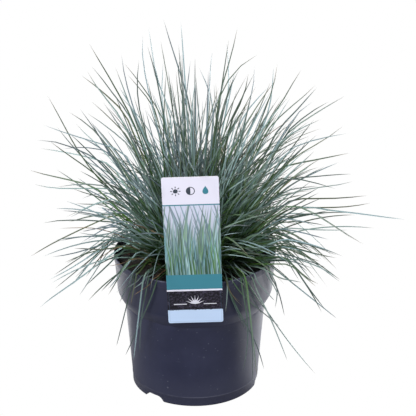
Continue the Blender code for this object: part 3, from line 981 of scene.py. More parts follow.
def pictogram_group():
    """Plain planting signs, each about 7 mm across round its middle: a sun, a half shaded disc and a
    drop."""
    group, given, out = new_group(
        "pictograms",
        [("Across", "Float"), ("Up", "Float"), ("Scale", "Float", 1.0)],
        [("Sun", "Float"), ("Shade", "Float"), ("Drop", "Float")],
    )
    x = maths(group, "DIVIDE", given["Across"], given["Scale"])
    y = maths(group, "DIVIDE", given["Up"], given["Scale"])
    radius = maths(group, "SQRT", squares(group, x, y))
    # The sun's disc, and eight rays round it
    turn = times(group, maths(group, "ARCTAN2", y, x), 4.0)
    from_ray = times(group, maths(group, "ABSOLUTE", maths(group, "SINE", turn)), radius)
    outside = maths(group, "COMPARE", radius, 2.85, 0.65)
    ray = times(group, maths(group, "LESS_THAN", from_ray, 1.2), outside)
    disc = maths(group, "LESS_THAN", radius, 1.6)
    group.links.new(maths(group, "MAXIMUM", disc, ray), out["Sun"])
    # A hoop whose left half is filled
    hoop = maths(group, "COMPARE", radius, 2.7, 0.3)
    left = times(group, maths(group, "LESS_THAN", radius, 2.7), maths(group, "LESS_THAN", x, 0.0))
    group.links.new(maths(group, "MAXIMUM", hoop, left), out["Shade"])
    # The drop's half width, from its pointed top to its round belly
    up = maths(group, "DIVIDE", minus(group, 3.4, y), 6.0, clamp=True)
    belly = maths(group, "SQRT", times(group, up, minus(group, 1.0, up)))
    wide = times(group, belly, maths(group, "POWER", up, 0.6), 5.4)
    group.links.new(maths(group, "LESS_THAN", maths(group, "ABSOLUTE", x), wide), out["Drop"])
    return group


def tuft_group():
    """A plain printed tuft of grass: seven pointed blades that fan out from one foot, about 9 mm tall."""
    group, given, out = new_group("tuft", [("Across", "Float"), ("Up", "Float")], [("Mask", "Float")])
    x, y = given["Across"], given["Up"]
    radius = maths(group, "SQRT", squares(group, x, y))
    turn = maths(group, "ARCTAN2", x, y)
    blades_a_turn = math.pi / math.radians(23.0)
    from_blade = maths(group, "ABSOLUTE", maths(group, "SINE", times(group, turn, blades_a_turn)))
    from_blade = maths(group, "DIVIDE", times(group, from_blade, radius), blades_a_turn)
    half = times(group, minus(group, 10.5, radius), 0.085)
    blade = maths(group, "LESS_THAN", from_blade, half)
    upper = maths(group, "LESS_THAN", maths(group, "ABSOLUTE", turn), math.radians(80.0))
    group.links.new(times(group, blade, upper), out["Mask"])
    return group


def tinted(share, haze, colour):
    """A colour moved a share of the way to a haze."""
    return tuple(c + (h - c) * share for c, h in zip(colour, haze))


def printed_picture(tree, across, up):
    """The label's picture: layers of printed grass against a pale sky, hazier to the back."""
    bottom, top = BAND_TOPS["teal"], BAND_TOPS["picture"]
    leaves = printed_leaves_group()
    height = {"Value": up, "From Min": bottom, "From Max": top}
    risen = add_node(tree, "ShaderNodeMapRange", height).outputs[0]
    picture = mix(tree, fade(tree, up, bottom, top), PICTURE_LOW, PICTURE_SKY)
    for k in range(PRINTED_LAYERS):
        near = k / (PRINTED_LAYERS - 1)
        form = {
            "Across": across,
            "Up": risen,
            "Count": 9.0 + 6.0 * near,
            "Lean": 0.22 * math.sin(2.4 * k + 0.6),
            "Bend": 0.16 * math.sin(1.9 * k + 2.0),
            "Height": 1.50 - 1.00 * near,
            "Width": 0.74 - 0.14 * near,
            "Seed": 3.0 + 19.0 * k,
        }
        layer = place_group(tree, leaves, form)
        dark, light = PRINTED_TINTS[k % len(PRINTED_TINTS)]
        veil = 0.45 * (1.0 - near) ** 1.5
        colour = mix(tree, layer["Tone"], tinted(veil, HAZE, dark), tinted(veil, HAZE, light))
        picture = mix(tree, times(tree, layer["Mask"], 0.92), picture, colour)
    return picture


def print_finish():
    """The label's printed face: bands of plain colour round a picture of grass against a pale sky."""
    material, tree, shader = new_material("label_print")
    spot = add_node(tree, "ShaderNodeUVMap", uv_map="print").outputs[0]
    across, up, _ = add_node(tree, "ShaderNodeSeparateXYZ", {"Vector": spot}).outputs
    cover = mottle(tree, object_place(tree), 560.0, 2600.0)
    tops = BAND_TOPS
    bands = (
        (0.0, SKY_BLUE),
        (tops["foot"], CHARCOAL),
        (tops["dark"], PAPER),
        (tops["line"], TEAL),
        (tops["teal"], PAPER),
        (tops["picture"], TEAL),
        (tops["rule"], PAPER),
    )
    colour = ramp(tree, up, bands, "CONSTANT")
    in_picture = between(tree, up, tops["teal"], tops["picture"])
    colour = mix(tree, in_picture, colour, printed_picture(tree, across, up))
    # The dark band is mottled like soil
    in_band = between(tree, up, tops["foot"], tops["dark"])
    mottled = times(tree, in_band, fade(tree, cover["Patches"], 0.44, 0.68))
    colour = mix(tree, mottled, colour, PRINTED_SOIL)
    # Generic planting signs in the head, and a tuft between two rules in the dark band, all in millimetres
    x_mm = times(tree, minus(tree, across, 0.5), CARD_WIDTH * 1000)
    y_mm = times(tree, up, CARD_LENGTH * 1000)
    head = (tops["rule"] + 1.0) / 2 * CARD_LENGTH * 1000
    signs = pictogram_group()
    for name, place, ink in SIGNS:
        spot = {"Across": minus(tree, x_mm, place), "Up": minus(tree, y_mm, head), "Scale": SIGN_SCALE}
        colour = mix(tree, place_group(tree, signs, spot)[name], colour, ink)
    middle = (tops["foot"] + tops["dark"]) / 2 * CARD_LENGTH * 1000
    spot = {"Across": x_mm, "Up": minus(tree, y_mm, middle - 4.0)}
    tuft = place_group(tree, tuft_group(), spot)["Mask"]
    rule = maths(tree, "COMPARE", maths(tree, "ABSOLUTE", x_mm), RULE_PLACE, RULE_HALF_LENGTH)
    rule = times(tree, rule, maths(tree, "COMPARE", y_mm, middle - 3.9, RULE_HALF_WIDTH))
    colour = mix(tree, maths(tree, "MAXIMUM", tuft, rule), colour, PRINTED_WHITE)
    # A fine frame line inside the edge
    side = times(tree, maths(tree, "MINIMUM", across, minus(tree, 1.0, across)), CARD_WIDTH)
    end = times(tree, maths(tree, "MINIMUM", up, minus(tree, 1.0, up)), CARD_LENGTH)
    line = maths(tree, "COMPARE", maths(tree, "MINIMUM", side, end), FRAME_LINE_INSET, FRAME_LINE_HALF)
    low_half = fade(tree, up, tops["teal"] + 0.02, tops["teal"])
    colour = mix(tree, times(tree, line, low_half, 0.35), colour, FRAME_LINE_INK)
    rough = fade(tree, cover["Grain"], 0.3, 0.7, 0.34, 0.42)
    feed(tree, shader, {"Base Color": colour, "Roughness": rough})
    shader.inputs["Specular IOR Level"].default_value = 0.20
    return material


# The pot


def wall_line(inset):
    """The pot's side from the foot to under the lip, moved in by inset, as (radius, height)."""
    line = [(FOOT_RADIUS + FOOT_ROUNDING / 2, FOOT_ROUNDING)]
    for rise, out in RING_LINE_SHAPE:
        height = RING_LINE_HEIGHT + rise
        radius = FOOT_RADIUS + (NECK_RADIUS - FOOT_RADIUS) * height / NECK_HEIGHT
        line.append((radius + (RING_LINE_RAISE * out if inset == 0 else 0.0), height))
    for step in range(COVE_STEPS + 1):
        share = step / COVE_STEPS
        radius = COLLAR_RADIUS - (COLLAR_RADIUS - NECK_RADIUS) * (1 - share) ** COVE_POWER
        line.append((radius, NECK_HEIGHT + (COLLAR_BOTTOM - NECK_HEIGHT) * share))
    for inward, down in UNDER_LIP:
        line.append((RIM_RADIUS - inward, POT_HEIGHT - LIP_HEIGHT - down))
    return [(radius - inset, height) for radius, height in line]


def wall_radius(height):
    """The outer radius of the pot at a height."""
    line = wall_line(0.0)
    return np.interp(height, [h for _, h in line], [r for r, _ in line])


def direction(bearing):
    """The level direction at a bearing from the front, to the right."""
    return Vector((math.sin(bearing), -math.cos(bearing), 0.0))


def notch_block(name, bearing, spread):
    """A block over one drain notch with sloping, rounded ends, spread wider for the shell round it."""
    inner = NOTCH_INNER_RADIUS - spread
    outer = RIM_RADIUS
    bottom = -0.002
    top = NOTCH_HEIGHT + spread
    nothing_selected()
    bpy.ops.mesh.primitive_cube_add(size=1.0, location=(0, -(inner + outer) / 2, (bottom + top) / 2))
    block = name_piece(name)
    block.scale = (NOTCH_WIDTH + 2 * spread, outer - inner, top - bottom)
    apply_placing(block)
    pick_faces(block, lambda polygon: polygon.normal.z > 0.9)
    share = (NOTCH_TOP_WIDTH + 2 * spread) / (NOTCH_WIDTH + 2 * spread)
    bpy.ops.transform.resize(value=(share, 1.0, 1.0))
    bpy.ops.mesh.bevel(offset=NOTCH_ROUNDING, segments=5, affect="EDGES")
    bpy.ops.object.mode_set(mode="OBJECT")
    block.rotation_euler.z = bearing
    apply_placing(block)
    return block


def bearings():
    """The bearing of each drain notch."""
    return [FIRST_NOTCH + k * math.tau / NOTCH_COUNT for k in range(NOTCH_COUNT)]


def pot_cavity(top_rings):
    """The space inside the pot, from its floor to the rings that open it at the top."""
    inside = [point for point in wall_line(WALL) if point[1] < top_rings[0][1] - 0.001]
    inside[0] = (FOOT_RADIUS - WALL, FLOOR)
    return draw_round("pot_cavity", [*inside, *top_rings], POT_SIDES)


def make_pot(finish):
    """The nursery pot: its drawn shell, the notches in its foot, the raised floor over each and a drain
    hole in it."""
    lip = []
    for turn in (0.0, 0.25, 0.5, 0.75, 1.0):
        angle = turn * math.pi / 2
        radius = RIM_RADIUS - LIP_ROUNDING * (1 - math.cos(angle))
        lip.append((radius, POT_HEIGHT - LIP_ROUNDING * (1 - math.sin(angle))))
    foot = (FOOT_RADIUS - FOOT_ROUNDING / 2, 0.0)
    pot = draw_round("nursery_pot", [foot, *wall_line(0.0), *lip], POT_SIDES)
    inner_rim = RIM_RADIUS - WALL
    rim_top = [
        (inner_rim, POT_HEIGHT - LIP_ROUNDING),
        (inner_rim + LIP_ROUNDING * 0.3, POT_HEIGHT - LIP_ROUNDING * 0.3),
        (inner_rim + LIP_ROUNDING, POT_HEIGHT + 0.0002),
    ]
    cavity = pot_cavity(rim_top)
    for k, bearing in enumerate(bearings()):
        cut(cavity, notch_block(f"notch_shell_{k}", bearing, FLOOR))
    cut(pot, cavity)
    for k, bearing in enumerate(bearings()):
        cut(pot, notch_block(f"notch_{k}", bearing, 0.0))
        nothing_selected()
        place = direction(bearing) * DRAIN_HOLE_PLACE + Vector((0.0, 0.0, NOTCH_HEIGHT))
        size = {"radius": DRAIN_HOLE_RADIUS, "depth": 0.008}
        bpy.ops.mesh.primitive_cylinder_add(vertices=24, location=place, **size)
        hole = name_piece(f"drain_hole_{k}")
        apply_placing(hole)
        cut(pot, hole)
    smooth_by_angle(pot, 28)
    wear(pot, finish)
    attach(pot, "root")
    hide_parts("pot")
    return pot


# The soil


def soil_rise(x, y):
    """How far the soil stands above its level at a place: lumpy by the rim, nearly flat under the clump."""
    radius = np.hypot(x, y)
    lumps = 0.0011 * np.sin(97 * x + 3) * np.cos(83 * y + 1) + 0.0008 * np.sin(210 * x - 170 * y)
    return lumps * np.clip((radius - 0.045) / 0.02, 0.15, 1.0)


def make_soil(finish):
    """The soil: the pot's inner shape with a lumpy top, and crumbs of peat and bark on it."""
    edge = RIM_RADIUS - WALL - 0.0012
    tops = [(edge, SOIL_HEIGHT - 0.0016), (edge - 0.0012, SOIL_HEIGHT - 0.0004)]
    tops += [(edge * (1 - k / SOIL_RINGS) ** 0.9, SOIL_HEIGHT) for k in range(1, SOIL_RINGS)]
    floor = (FOOT_RADIUS - WALL - GAP, NOTCH_HEIGHT + FLOOR + 2 * GAP)
    inside = [point for point in wall_line(WALL + GAP) if floor[1] + 0.001 < point[1] < SOIL_HEIGHT - 0.004]
    soil = draw_round("potting_soil", [floor, *inside, *tops], SOIL_SIDES)
    rng = np.random.default_rng(5)
    for dot in soil.data.vertices:
        if dot.co.z > SOIL_HEIGHT - 0.001:
            dot.co.z += float(soil_rise(dot.co.x, dot.co.y)) + float(rng.normal(0.0, SOIL_GRAIN))
    nothing_selected()
    bpy.ops.mesh.primitive_ico_sphere_add(subdivisions=2, radius=1.0)
    pattern = name_piece("crumb_pattern")
    shape = np.array([dot.co for dot in pattern.data.vertices])
    faces = np.array([polygon.vertices for polygon in pattern.data.polygons])
    bpy.data.objects.remove(pattern, do_unlink=True)
    dots, triangles, tones = [], [], []
    for number in range(CRUMBS):
        radius = math.sqrt(rng.uniform(CRUMBS_FROM**2, (edge - 0.003) ** 2))
        bearing = rng.uniform(0.0, math.tau)
        x, y = radius * math.cos(bearing), radius * math.sin(bearing)
        size = CRUMB_SMALLEST + CRUMB_MORE * rng.random() ** 3
        stretch = size * rng.uniform(*CRUMB_STRETCH)
        turn = np.array(Matrix.Rotation(rng.uniform(0, math.tau), 3, "Z"))
        crumb = shape * stretch * (1 + CRUMB_LUMPS * rng.normal(size=(len(shape), 1)))
        height = SOIL_HEIGHT + float(soil_rise(x, y)) + size * 0.25
        dots.append(crumb @ turn.T + (x, y, height))
        triangles.append(faces + number * len(shape))
        tones.append(np.full(len(shape), rng.random()))
    mesh = bpy.data.meshes.new("soil_crumbs")
    mesh.from_pydata(np.concatenate(dots).tolist(), [], np.concatenate(triangles).tolist())
    tone = mesh.attributes.new("crumb", "FLOAT", "POINT")
    tone.data.foreach_set("value", np.concatenate(tones).astype(np.float32))
    crumbs = bpy.data.objects.new("soil_crumbs", mesh)
    bpy.context.scene.collection.objects.link(crumbs)
    select_only(soil)
    crumbs.select_set(True)
    bpy.ops.object.join()
    smooth_by_angle(soil, 50)
    wear(soil, finish)
    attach(soil, "root")
    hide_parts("soil")
    return soil


# The label


def card_placing():
    """Where the card is: its own X is across, Y is through it and Z is up it."""
    lean = Matrix.Rotation(CARD_LEAN, 4, "X")
    turn = Matrix.Rotation(-CARD_TURN, 4, "Y")
    return Matrix.Translation(CARD_CENTRE) @ lean @ turn


def make_label(face, sheet):
    """The printed card with rounded corners, and the tongue behind it that goes over the rim into the
    soil."""
    nothing_selected()
    bpy.ops.mesh.primitive_cube_add(size=1.0)
    card = name_piece("plant_label")
    card.scale = (CARD_WIDTH, CARD_THICKNESS, CARD_LENGTH)
    apply_placing(card)
    pick_edges(card, lambda first, second: abs(first.y - second.y) > CARD_THICKNESS / 2)
    bpy.ops.mesh.bevel(offset=CARD_CORNER, segments=8, affect="EDGES")
    bpy.ops.object.mode_set(mode="OBJECT")
    card.data.transform(card_placing())
    # The tongue: a level bridge from the card over the rim, and a stem from there down into the soil
    front = CARD_CENTRE.y + math.tan(CARD_LEAN) * (CARD_CENTRE.z - TONGUE_TOP)
    back = -TONGUE_PLACE + TONGUE_THICKNESS / 2
    bridge = (TONGUE_WIDTH, back - front, TONGUE_THICKNESS)
    stem = (TONGUE_WIDTH - 0.0001, TONGUE_THICKNESS, TONGUE_TOP - TONGUE_FOOT)
    plates = (
        ("tongue_bridge", bridge, (front + back) / 2, TONGUE_TOP),
        ("tongue_stem", stem, -TONGUE_PLACE, (TONGUE_TOP + TONGUE_FOOT) / 2),
    )
    for name, size, y, z in plates:
        nothing_selected()
        bpy.ops.mesh.primitive_cube_add(size=1.0, location=(CARD_CENTRE.x, y, z))
        plate = name_piece(name)
        plate.scale = size
        apply_placing(plate)
        cut(card, plate, "UNION")
    wear(card, face, sheet)
    # The print covers the card's front, and its map runs from 0 to 1 across and up the card
    back_to_card = card_placing().inverted()
    spots = card.data.uv_layers.new(name="print")
    for polygon in card.data.polygons:
        middle = back_to_card @ polygon.center
        outward = back_to_card.to_3x3() @ polygon.normal
        polygon.material_index = 0 if outward.y < -0.9 and middle.y < 0.0 else 1
        for corner in polygon.loop_indices:
            spot = back_to_card @ card.data.vertices[card.data.loops[corner].vertex_index].co
            spots.data[corner].uv = (spot.x / CARD_WIDTH + 0.5, spot.z / CARD_LENGTH + 0.5)
    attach(card, "root")
    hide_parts("label")
    return card


# The clump


def reach_of(node):
    """Where a tuft's solid stands, and the tips of its long leaf and its two side leaves."""
    dots = np.array([dot.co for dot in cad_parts[node].data.vertices])
    level = SOIL_HEIGHT + GAP
    foot = dots[np.abs(dots[:, 2] - level) < 0.0001].mean(axis=0)
    reach = np.linalg.norm(dots - foot, axis=1)
    tip = dots[reach.argmax()]
    bearing = np.arctan2(dots[:, 0], -dots[:, 1]) - math.atan2(tip[0], -tip[1])
    bearing = (bearing + math.pi) % math.tau - math.pi
    sides = []
    for side in (-1, 1):
        beyond = reach * (bearing * side > math.radians(3)) * (reach > 0.06)
        sides.append(dots[beyond.argmax()] if beyond.max() > 0 else tip)
    return foot, tip, sides


def photo_pixel(places):
    """The pixels that show one place or many."""
    away = np.asarray(places) - CAMERA_PLACE
    depth = away @ AHEAD
    across = PHOTO_SIZE / 2 + FOCAL * away[..., 0] / depth
    return np.stack([across, PHOTO_SIZE / 2 - FOCAL * (away @ UPWARD) / depth], axis=-1)


def photo_point(across, down, depth):
    """The place that a pixel shows at a depth behind the pot's axis."""
    ray = AHEAD + ACROSS * ((across - PHOTO_SIZE / 2) / FOCAL) - UPWARD * ((down - PHOTO_SIZE / 2) / FOCAL)
    return np.array(CAMERA_PLACE) + ray * ((depth - CAMERA_PLACE[1]) / ray[1])


def rim_point(across, down, depth):
    """The place of a leaf that falls over the rim, from its pixel, and whether it is out over the rim:
    level with the top of the rim inside the pot, then down a round wall just outside it, and past that
    wall's edge at the depth given."""
    start = np.array(CAMERA_PLACE)
    ray = photo_point(across, down, 0.0) - start
    over = start + ray * ((POT_HEIGHT + HANG_RISE - start[2]) / ray[2])
    if math.hypot(over[0], over[1]) < RIM_RADIUS + HANG_CLEAR and over[1] < 0.02:
        return over, False
    # Where the ray meets the round wall: the nearer root of a quadratic
    a = ray[0] ** 2 + ray[1] ** 2
    b = start[0] * ray[0] + start[1] * ray[1]
    c = start[0] ** 2 + start[1] ** 2 - (RIM_RADIUS + HANG_CLEAR) ** 2
    inside = b * b - a * c
    if inside < 0:
        return photo_point(across, down, depth), True
    return start + ray * ((-b - math.sqrt(inside)) / a), True


def sharpest_turn(line):
    """The largest angle between a line's steps."""
    steps = np.diff(line, axis=0)
    steps /= np.maximum(np.linalg.norm(steps, axis=1), 1e-9)[:, None]
    return math.acos(float(np.clip((steps[:-1] * steps[1:]).sum(axis=1).min(), -1.0, 1.0)))


def ease(line, weight=2):
    """Moves each point of a line but its ends towards its neighbours."""
    line[1:-1] = (line[:-2] + weight * line[1:-1] + line[2:]) / (weight + 2)


def even_line(places, smoothing=10, stations=STATIONS):
    """A smooth line through or near the places, with evenly spaced points and no sharp turn."""
    places = np.array(places)
    run = np.append(0.0, np.cumsum(np.linalg.norm(np.diff(places, axis=0), axis=1)))
    fine = np.linspace(0.0, run[-1], FINE_STATIONS)
    line = np.stack([np.interp(fine, run, places[:, k]) for k in range(3)], axis=1)
    for passed in range(smoothing + MOST_SMOOTHING):
        if passed >= smoothing and sharpest_turn(line) < LEAF_TURN:
            break
        ease(line)
    steps = np.linspace(0, len(line) - 1, stations)
    return np.stack([np.interp(steps, np.arange(len(line)), line[:, k]) for k in range(3)], axis=1)


def bent_line(foot, rise, tip, arch):
    """A leaf's line from its foot, setting off along rise, to its tip."""
    t = np.linspace(0.0, 1.0, STATIONS)[:, None]
    middle = foot + rise * np.linalg.norm(tip - foot) * arch
    return foot * (1 - t) ** 2 + middle * (2 * t * (1 - t)) + tip * t**2


def is_clear(line):
    """True if a leaf's line stays out of the pot's wall, the soil, the label and the ground, and near the
    model."""
    steps = np.linspace(0, STATIONS - 1, STATIONS * 5)
    x, y, z = (np.interp(steps, np.arange(STATIONS), line[:, k]) for k in range(3))
    radius = np.hypot(x, y)
    in_wall = (z < POT_HEIGHT + WALL_ROOM) & (radius > RIM_RADIUS - WALL - 0.001)
    in_wall &= radius < np.where(z > POT_HEIGHT - LIP_HEIGHT, RIM_RADIUS, wall_radius(z)) + WALL_ROOM
    in_soil = (z < SOIL_HEIGHT - 0.0005) & (radius < RIM_RADIUS - WALL)
    card = CARD_CENTRE.y - math.tan(CARD_LEAN) * (z - CARD_CENTRE.z)
    before = (np.abs(x - CARD_CENTRE.x) < CARD_WIDTH / 2 + ROOM_BESIDE_CARD) & (y < card + ROOM_BEHIND_CARD)
    before &= z < CARD_CENTRE.z + CARD_LENGTH / 2 + ROOM_ABOVE_CARD
    low, high = cad_box
    outside = (x < low.x - STRAY_ROOM) | (x > high.x + STRAY_ROOM) | (z > high.z + STRAY_ROOM)
    outside |= (y < low.y - STRAY_ROOM) | (y > high.y + STRAY_ROOM) | (z < GROUND_ROOM)
    return not (in_wall | in_soil | before | outside).any()


def over_the_rim(line):
    """The line of a hanging leaf, lifted over the rim and held off the wall where it would touch it."""
    line = line.copy()
    for _ in range(5):
        radius = np.hypot(line[:, 0], line[:, 1])
        crossing = int(np.argmax(radius > RIM_RADIUS - WALL - 0.002))
        near = radius < RIM_RADIUS + RIM_ROOM
        near[:crossing] = False
        on_top = near & (line[:, 2] > POT_HEIGHT - 0.004)
        line[on_top, 2] = np.maximum(line[on_top, 2], POT_HEIGHT + RIM_ROOM)
        wall = np.where(line[:, 2] > POT_HEIGHT - LIP_HEIGHT, RIM_RADIUS, wall_radius(line[:, 2]))
        wall += BESIDE_ROOM
        beside = (line[:, 2] < POT_HEIGHT + 0.0005) & (radius < wall)
        beside[:crossing] = False
        line[beside, :2] *= (wall / np.maximum(radius, 0.01))[beside, None]
        ease(line, 8)
    return line


def lean_and_bearing(reach):
    """How far a direction leans from upright, and its bearing."""
    return math.atan2(math.hypot(reach[0], reach[1]), reach[2]), math.atan2(reach[0], -reach[1])


def heading(lean, bearing):
    """The direction with that lean and bearing."""
    level = direction(bearing) * math.sin(lean)
    return np.array((level.x, level.y, math.cos(lean)))


def planted(foot):
    """Where a tuft's leaves come out of the soil: the clump grows a little right of the pot's middle."""
    heart = np.array(HEART)
    place = heart + (foot - heart) * HEART_SPREAD
    place[2] = foot[2]
    return place


def scattered(rng, place, spread):
    """The place, moved a little at random over the soil."""
    return place + np.append(rng.normal(0.0, spread, 2), 0.0)


def tuft_near(place, tufts):
    """The tuft that is planted nearest to a place."""
    return min(tufts, key=lambda number: np.linalg.norm(planted(tufts[number][0]) - place))


def bulk_at(place):
    """How far out a place is in the photograph, how far the bulk of the leaves reaches that way, and how
    full it is."""
    across, down = photo_pixel(place)
    across, down = across - HEART_PIXEL[0], HEART_PIXEL[1] - down
    way = (math.degrees(math.atan2(down, across)) + 90) % 360 - 90
    angles = sorted(BULK)
    reach, fullness = (np.interp(way, angles, [BULK[angle][k] for angle in angles]) for k in (0, 1))
    return math.hypot(across, down), reach, fullness


def angle_between(first, second):
    """The angle between two directions."""
    cosine = first @ second / np.linalg.norm(first) / np.linalg.norm(second)
    return math.acos(max(-1.0, min(1.0, cosine)))


def nearest_tuft(inner, middle, tip, tufts):
    """The tuft that a leaf seen in the photograph grows from: the one it points back to."""
    costs = {}
    for number, (foot, own_tip, _) in tufts.items():
        start = planted(foot)
        turn = angle_between(inner - start, middle - inner)
        costs[number] = turn + angle_between(tip - start, own_tip - foot) * TIP_SHARE
    return min(costs, key=costs.get)


def stray_leaves(tufts):
    """The leaves that stand out in the photograph, by tuft, and the tufts whose own tip one of them has.
    Such a leaf keeps that tip's depth, and any other one is turned towards or away from the camera as far
    as its length asks."""
    rng = np.random.default_rng(11)
    leaves = {number: [] for number in tufts}
    taken = set()
    heart = np.array(HEART)
    for colour, strays in STRAYS.items():
        tone, dry = COLOURS[colour]
        for spots in strays:
            flat = photo_point(*spots[0], 0.0)
            own = None
            for number, (foot, tip, _) in tufts.items():
                if math.dist(photo_pixel(tip), spots[0]) < OWN_TIP_NEAR and number not in taken:
                    own = number
            length = LEAF_LENGTH * rng.uniform(0.86, 1.04)
            away = math.sqrt(max(0.0, length**2 - np.linalg.norm(flat - heart) ** 2)) * 0.85
            side = 1 if rng.random() < 0.5 else -1
            depths = [tufts[own][1][1]] if own else [side * away, -side * away, side * away * 0.4, 0.0]
            for depth in depths:
                depth = float(np.clip(depth, cad_box[0].y + 0.004, cad_box[1].y - 0.004))
                far = photo_point(*spots[0], depth)
                inner = photo_point(*spots[-1], depth * 0.35)
                middle = photo_point(*spots[-2], depth * 0.6)
                number = own or nearest_tuft(inner, middle, far, tufts)
                foot = scattered(rng, planted(tufts[number][0]), STRAY_STAND)
                start = np.array(photo_pixel(foot))
                total = math.dist(start, spots[0])
                places = [foot, foot + (inner - foot) * 0.3 + (0, 0, 0.006)]
                for spot in reversed(spots):
                    share = min(1.0, math.dist(start, spot) / total)
                    places.append(photo_point(*spot, foot[1] + (depth - foot[1]) * share))
                line = even_line(places)
                if is_clear(line):
                    break
            else:
                continue
            if own:
                taken.add(own)
            width, roll = rng.uniform(*STRAY_WIDTH), rng.uniform(-0.8, 0.8)
            width *= DRY_WIDTH if dry > 0.5 else 1.0
            leaves[number].append((line, width, roll, tone + rng.uniform(-0.1, 0.1), dry))
    return leaves, taken


def hanging_leaves(tufts):
    """The leaves that fall over the rim in front, by tuft."""
    rng = np.random.default_rng(12)
    leaves = {number: [] for number in tufts}
    for colour, strays in HANGING.items():
        tone, dry = COLOURS[colour]
        for spots in strays:
            fine = np.linspace(0, len(spots) - 1, 26)[::-1]
            route = (np.interp(fine, np.arange(len(spots)), [spot[k] for spot in spots]) for k in (0, 1))
            places = []
            depth = -0.05
            for spot in zip(*route):
                place, outside = rim_point(*spot, depth)
                depth = place[1] if outside else depth
                places.append(place)
            number = tuft_near(places[0], tufts)
            foot = scattered(rng, planted(tufts[number][0]), STRAY_STAND)
            line = even_line([foot, *places], 15, HANG_STATIONS)
            for _ in range(3):
                line = over_the_rim(line)
                ease(line)
            line = over_the_rim(line)
            width = rng.uniform(*STRAY_WIDTH) * (DRY_WIDTH if dry > 0.5 else 0.9)
            leaves[number].append((line, width, rng.uniform(-0.5, 0.5), tone, dry))
    return leaves


def keeps_clearings(line, chance):
    """True if a leaf leaves the clearings open, or is one of those that cross them."""
    spots = photo_pixel(line)
    for across, down, wide, high, share in CLEARINGS:
        inside = ((spots[:, 0] - across) / wide) ** 2 + ((spots[:, 1] - down) / high) ** 2 < 1.0
        if inside.any() and chance > share:
            return False
    return True


def reaching_line(root, base_lean, target):
    """The line of a leaf to one of its tuft's own tips, over the rim if the tip hangs below it."""
    out = lean_and_bearing(target - root)[1]
    if target[2] < SOIL_HEIGHT - 0.01:
        over = heading(math.pi / 2, lean_and_bearing(target)[1]) * (RIM_RADIUS + 0.003)
        over[2] = POT_HEIGHT + 0.010
        risen = (root + over) / 2 + (0, 0, 0.008)
        return over_the_rim(even_line([root, risen, over, target], 14, HANG_STATIONS))
    for arch in (0.50, 0.56, 0.62, 0.68):
        line = bent_line(root, heading(base_lean, out), target, arch)
        if is_clear(line):
            break
    return line


def low_leaves(tufts):
    """Short curled leaves round the foot of the clump, many of them dry, by tuft."""
    rng = np.random.default_rng(14)
    leaves = {number: [] for number in tufts}
    outer = [number for number, (foot, _, _) in tufts.items() if math.hypot(foot[0], foot[1]) > 0.024]
    while sum(len(found) for found in leaves.values()) < LOW_LEAVES:
        number = outer[rng.integers(len(outer))]
        foot = scattered(rng, planted(tufts[number][0]), 0.008)
        bearing = math.atan2(foot[0], -foot[1]) + rng.normal(0.0, 0.9)
        kind = rng.random()
        length = rng.uniform(*(LOW_DRY_LENGTH if kind < LOW_DRY else LOW_LENGTH))
        end = foot + heading(math.radians(rng.uniform(35.0, 88.0)), bearing) * length
        rise = heading(math.radians(rng.uniform(0.0, 50.0)), bearing + rng.normal(0.0, 0.7))
        line = bent_line(foot, rise, end, rng.uniform(0.35, 0.70))
        tone = rng.uniform(0.0, 0.5)
        dry = 0.95 if kind < LOW_DRY else (0.40 if kind < LOW_DRYING else 0.0)
        width, roll = rng.uniform(*LOW_WIDTH), rng.uniform(-1.2, 1.2)
        if is_clear(line):
            leaves[number].append((line, width, roll, tone, dry))
    return leaves


def falling_leaves(tufts):
    """Leaves that arch out of the clump and fall over the rim, by tuft."""
    rng = np.random.default_rng(13)
    leaves = {number: [] for number in tufts}
    heart = np.array(HEART)
    for first, last, count in FALLS:
        found = 0
        for _ in range(count * 6):
            if found == count:
                break
            bearing = math.radians(rng.uniform(first, last))
            lean = math.radians(rng.uniform(*FALL_LEAN))
            length = LEAF_LENGTH * rng.uniform(*FALL_LENGTH)
            end = heart + heading(lean, bearing) * length
            number = tuft_near(heart + heading(math.pi / 2, bearing) * 0.045, tufts)
            foot = scattered(rng, planted(tufts[number][0]), 0.006)
            rise = heading(math.radians(rng.uniform(*FALL_SET_OFF)), bearing + rng.normal(0.0, 0.2))
            knee = foot + rise * rng.uniform(*FALL_KNEE)
            over = heading(math.pi / 2, bearing + rng.normal(0.0, 0.05)) * (RIM_RADIUS + 0.004)
            crest = rng.uniform(*FALL_CREST)
            tone, dry = rng.uniform(0.0, 0.7), (0.9 if rng.random() < 0.02 else 0.0)
            width, roll = rng.uniform(*LEAF_WIDTH), rng.uniform(-0.7, 0.7)
            chance = rng.random()
            across, down = photo_pixel(end)
            if down > np.interp(across, *zip(*FALL_LIMITS)):
                continue
            for lift in (0.0, 0.004, 0.008, 0.012):
                over[2] = POT_HEIGHT + crest + lift
                line = even_line([foot, knee, over, end], 9)
                if is_clear(line):
                    if keeps_clearings(line, chance):
                        leaves[number].append((line, width, roll, tone, dry))
                        found += 1
                    break
    return leaves


def swaying(line, start, end, sway):
    """A leaf's line, moved to its sides in one wave and in two."""
    t = np.linspace(0.0, 1.0, STATIONS)[:, None]
    aside = np.cross(end - start, (0.0, 0.0, 1.0)) + 1e-6
    aside /= np.linalg.norm(aside)
    wave = sway[0] * np.sin(math.pi * t) + sway[1] * np.sin(math.tau * t)
    return line + aside * (np.linalg.norm(end - start) * wave)


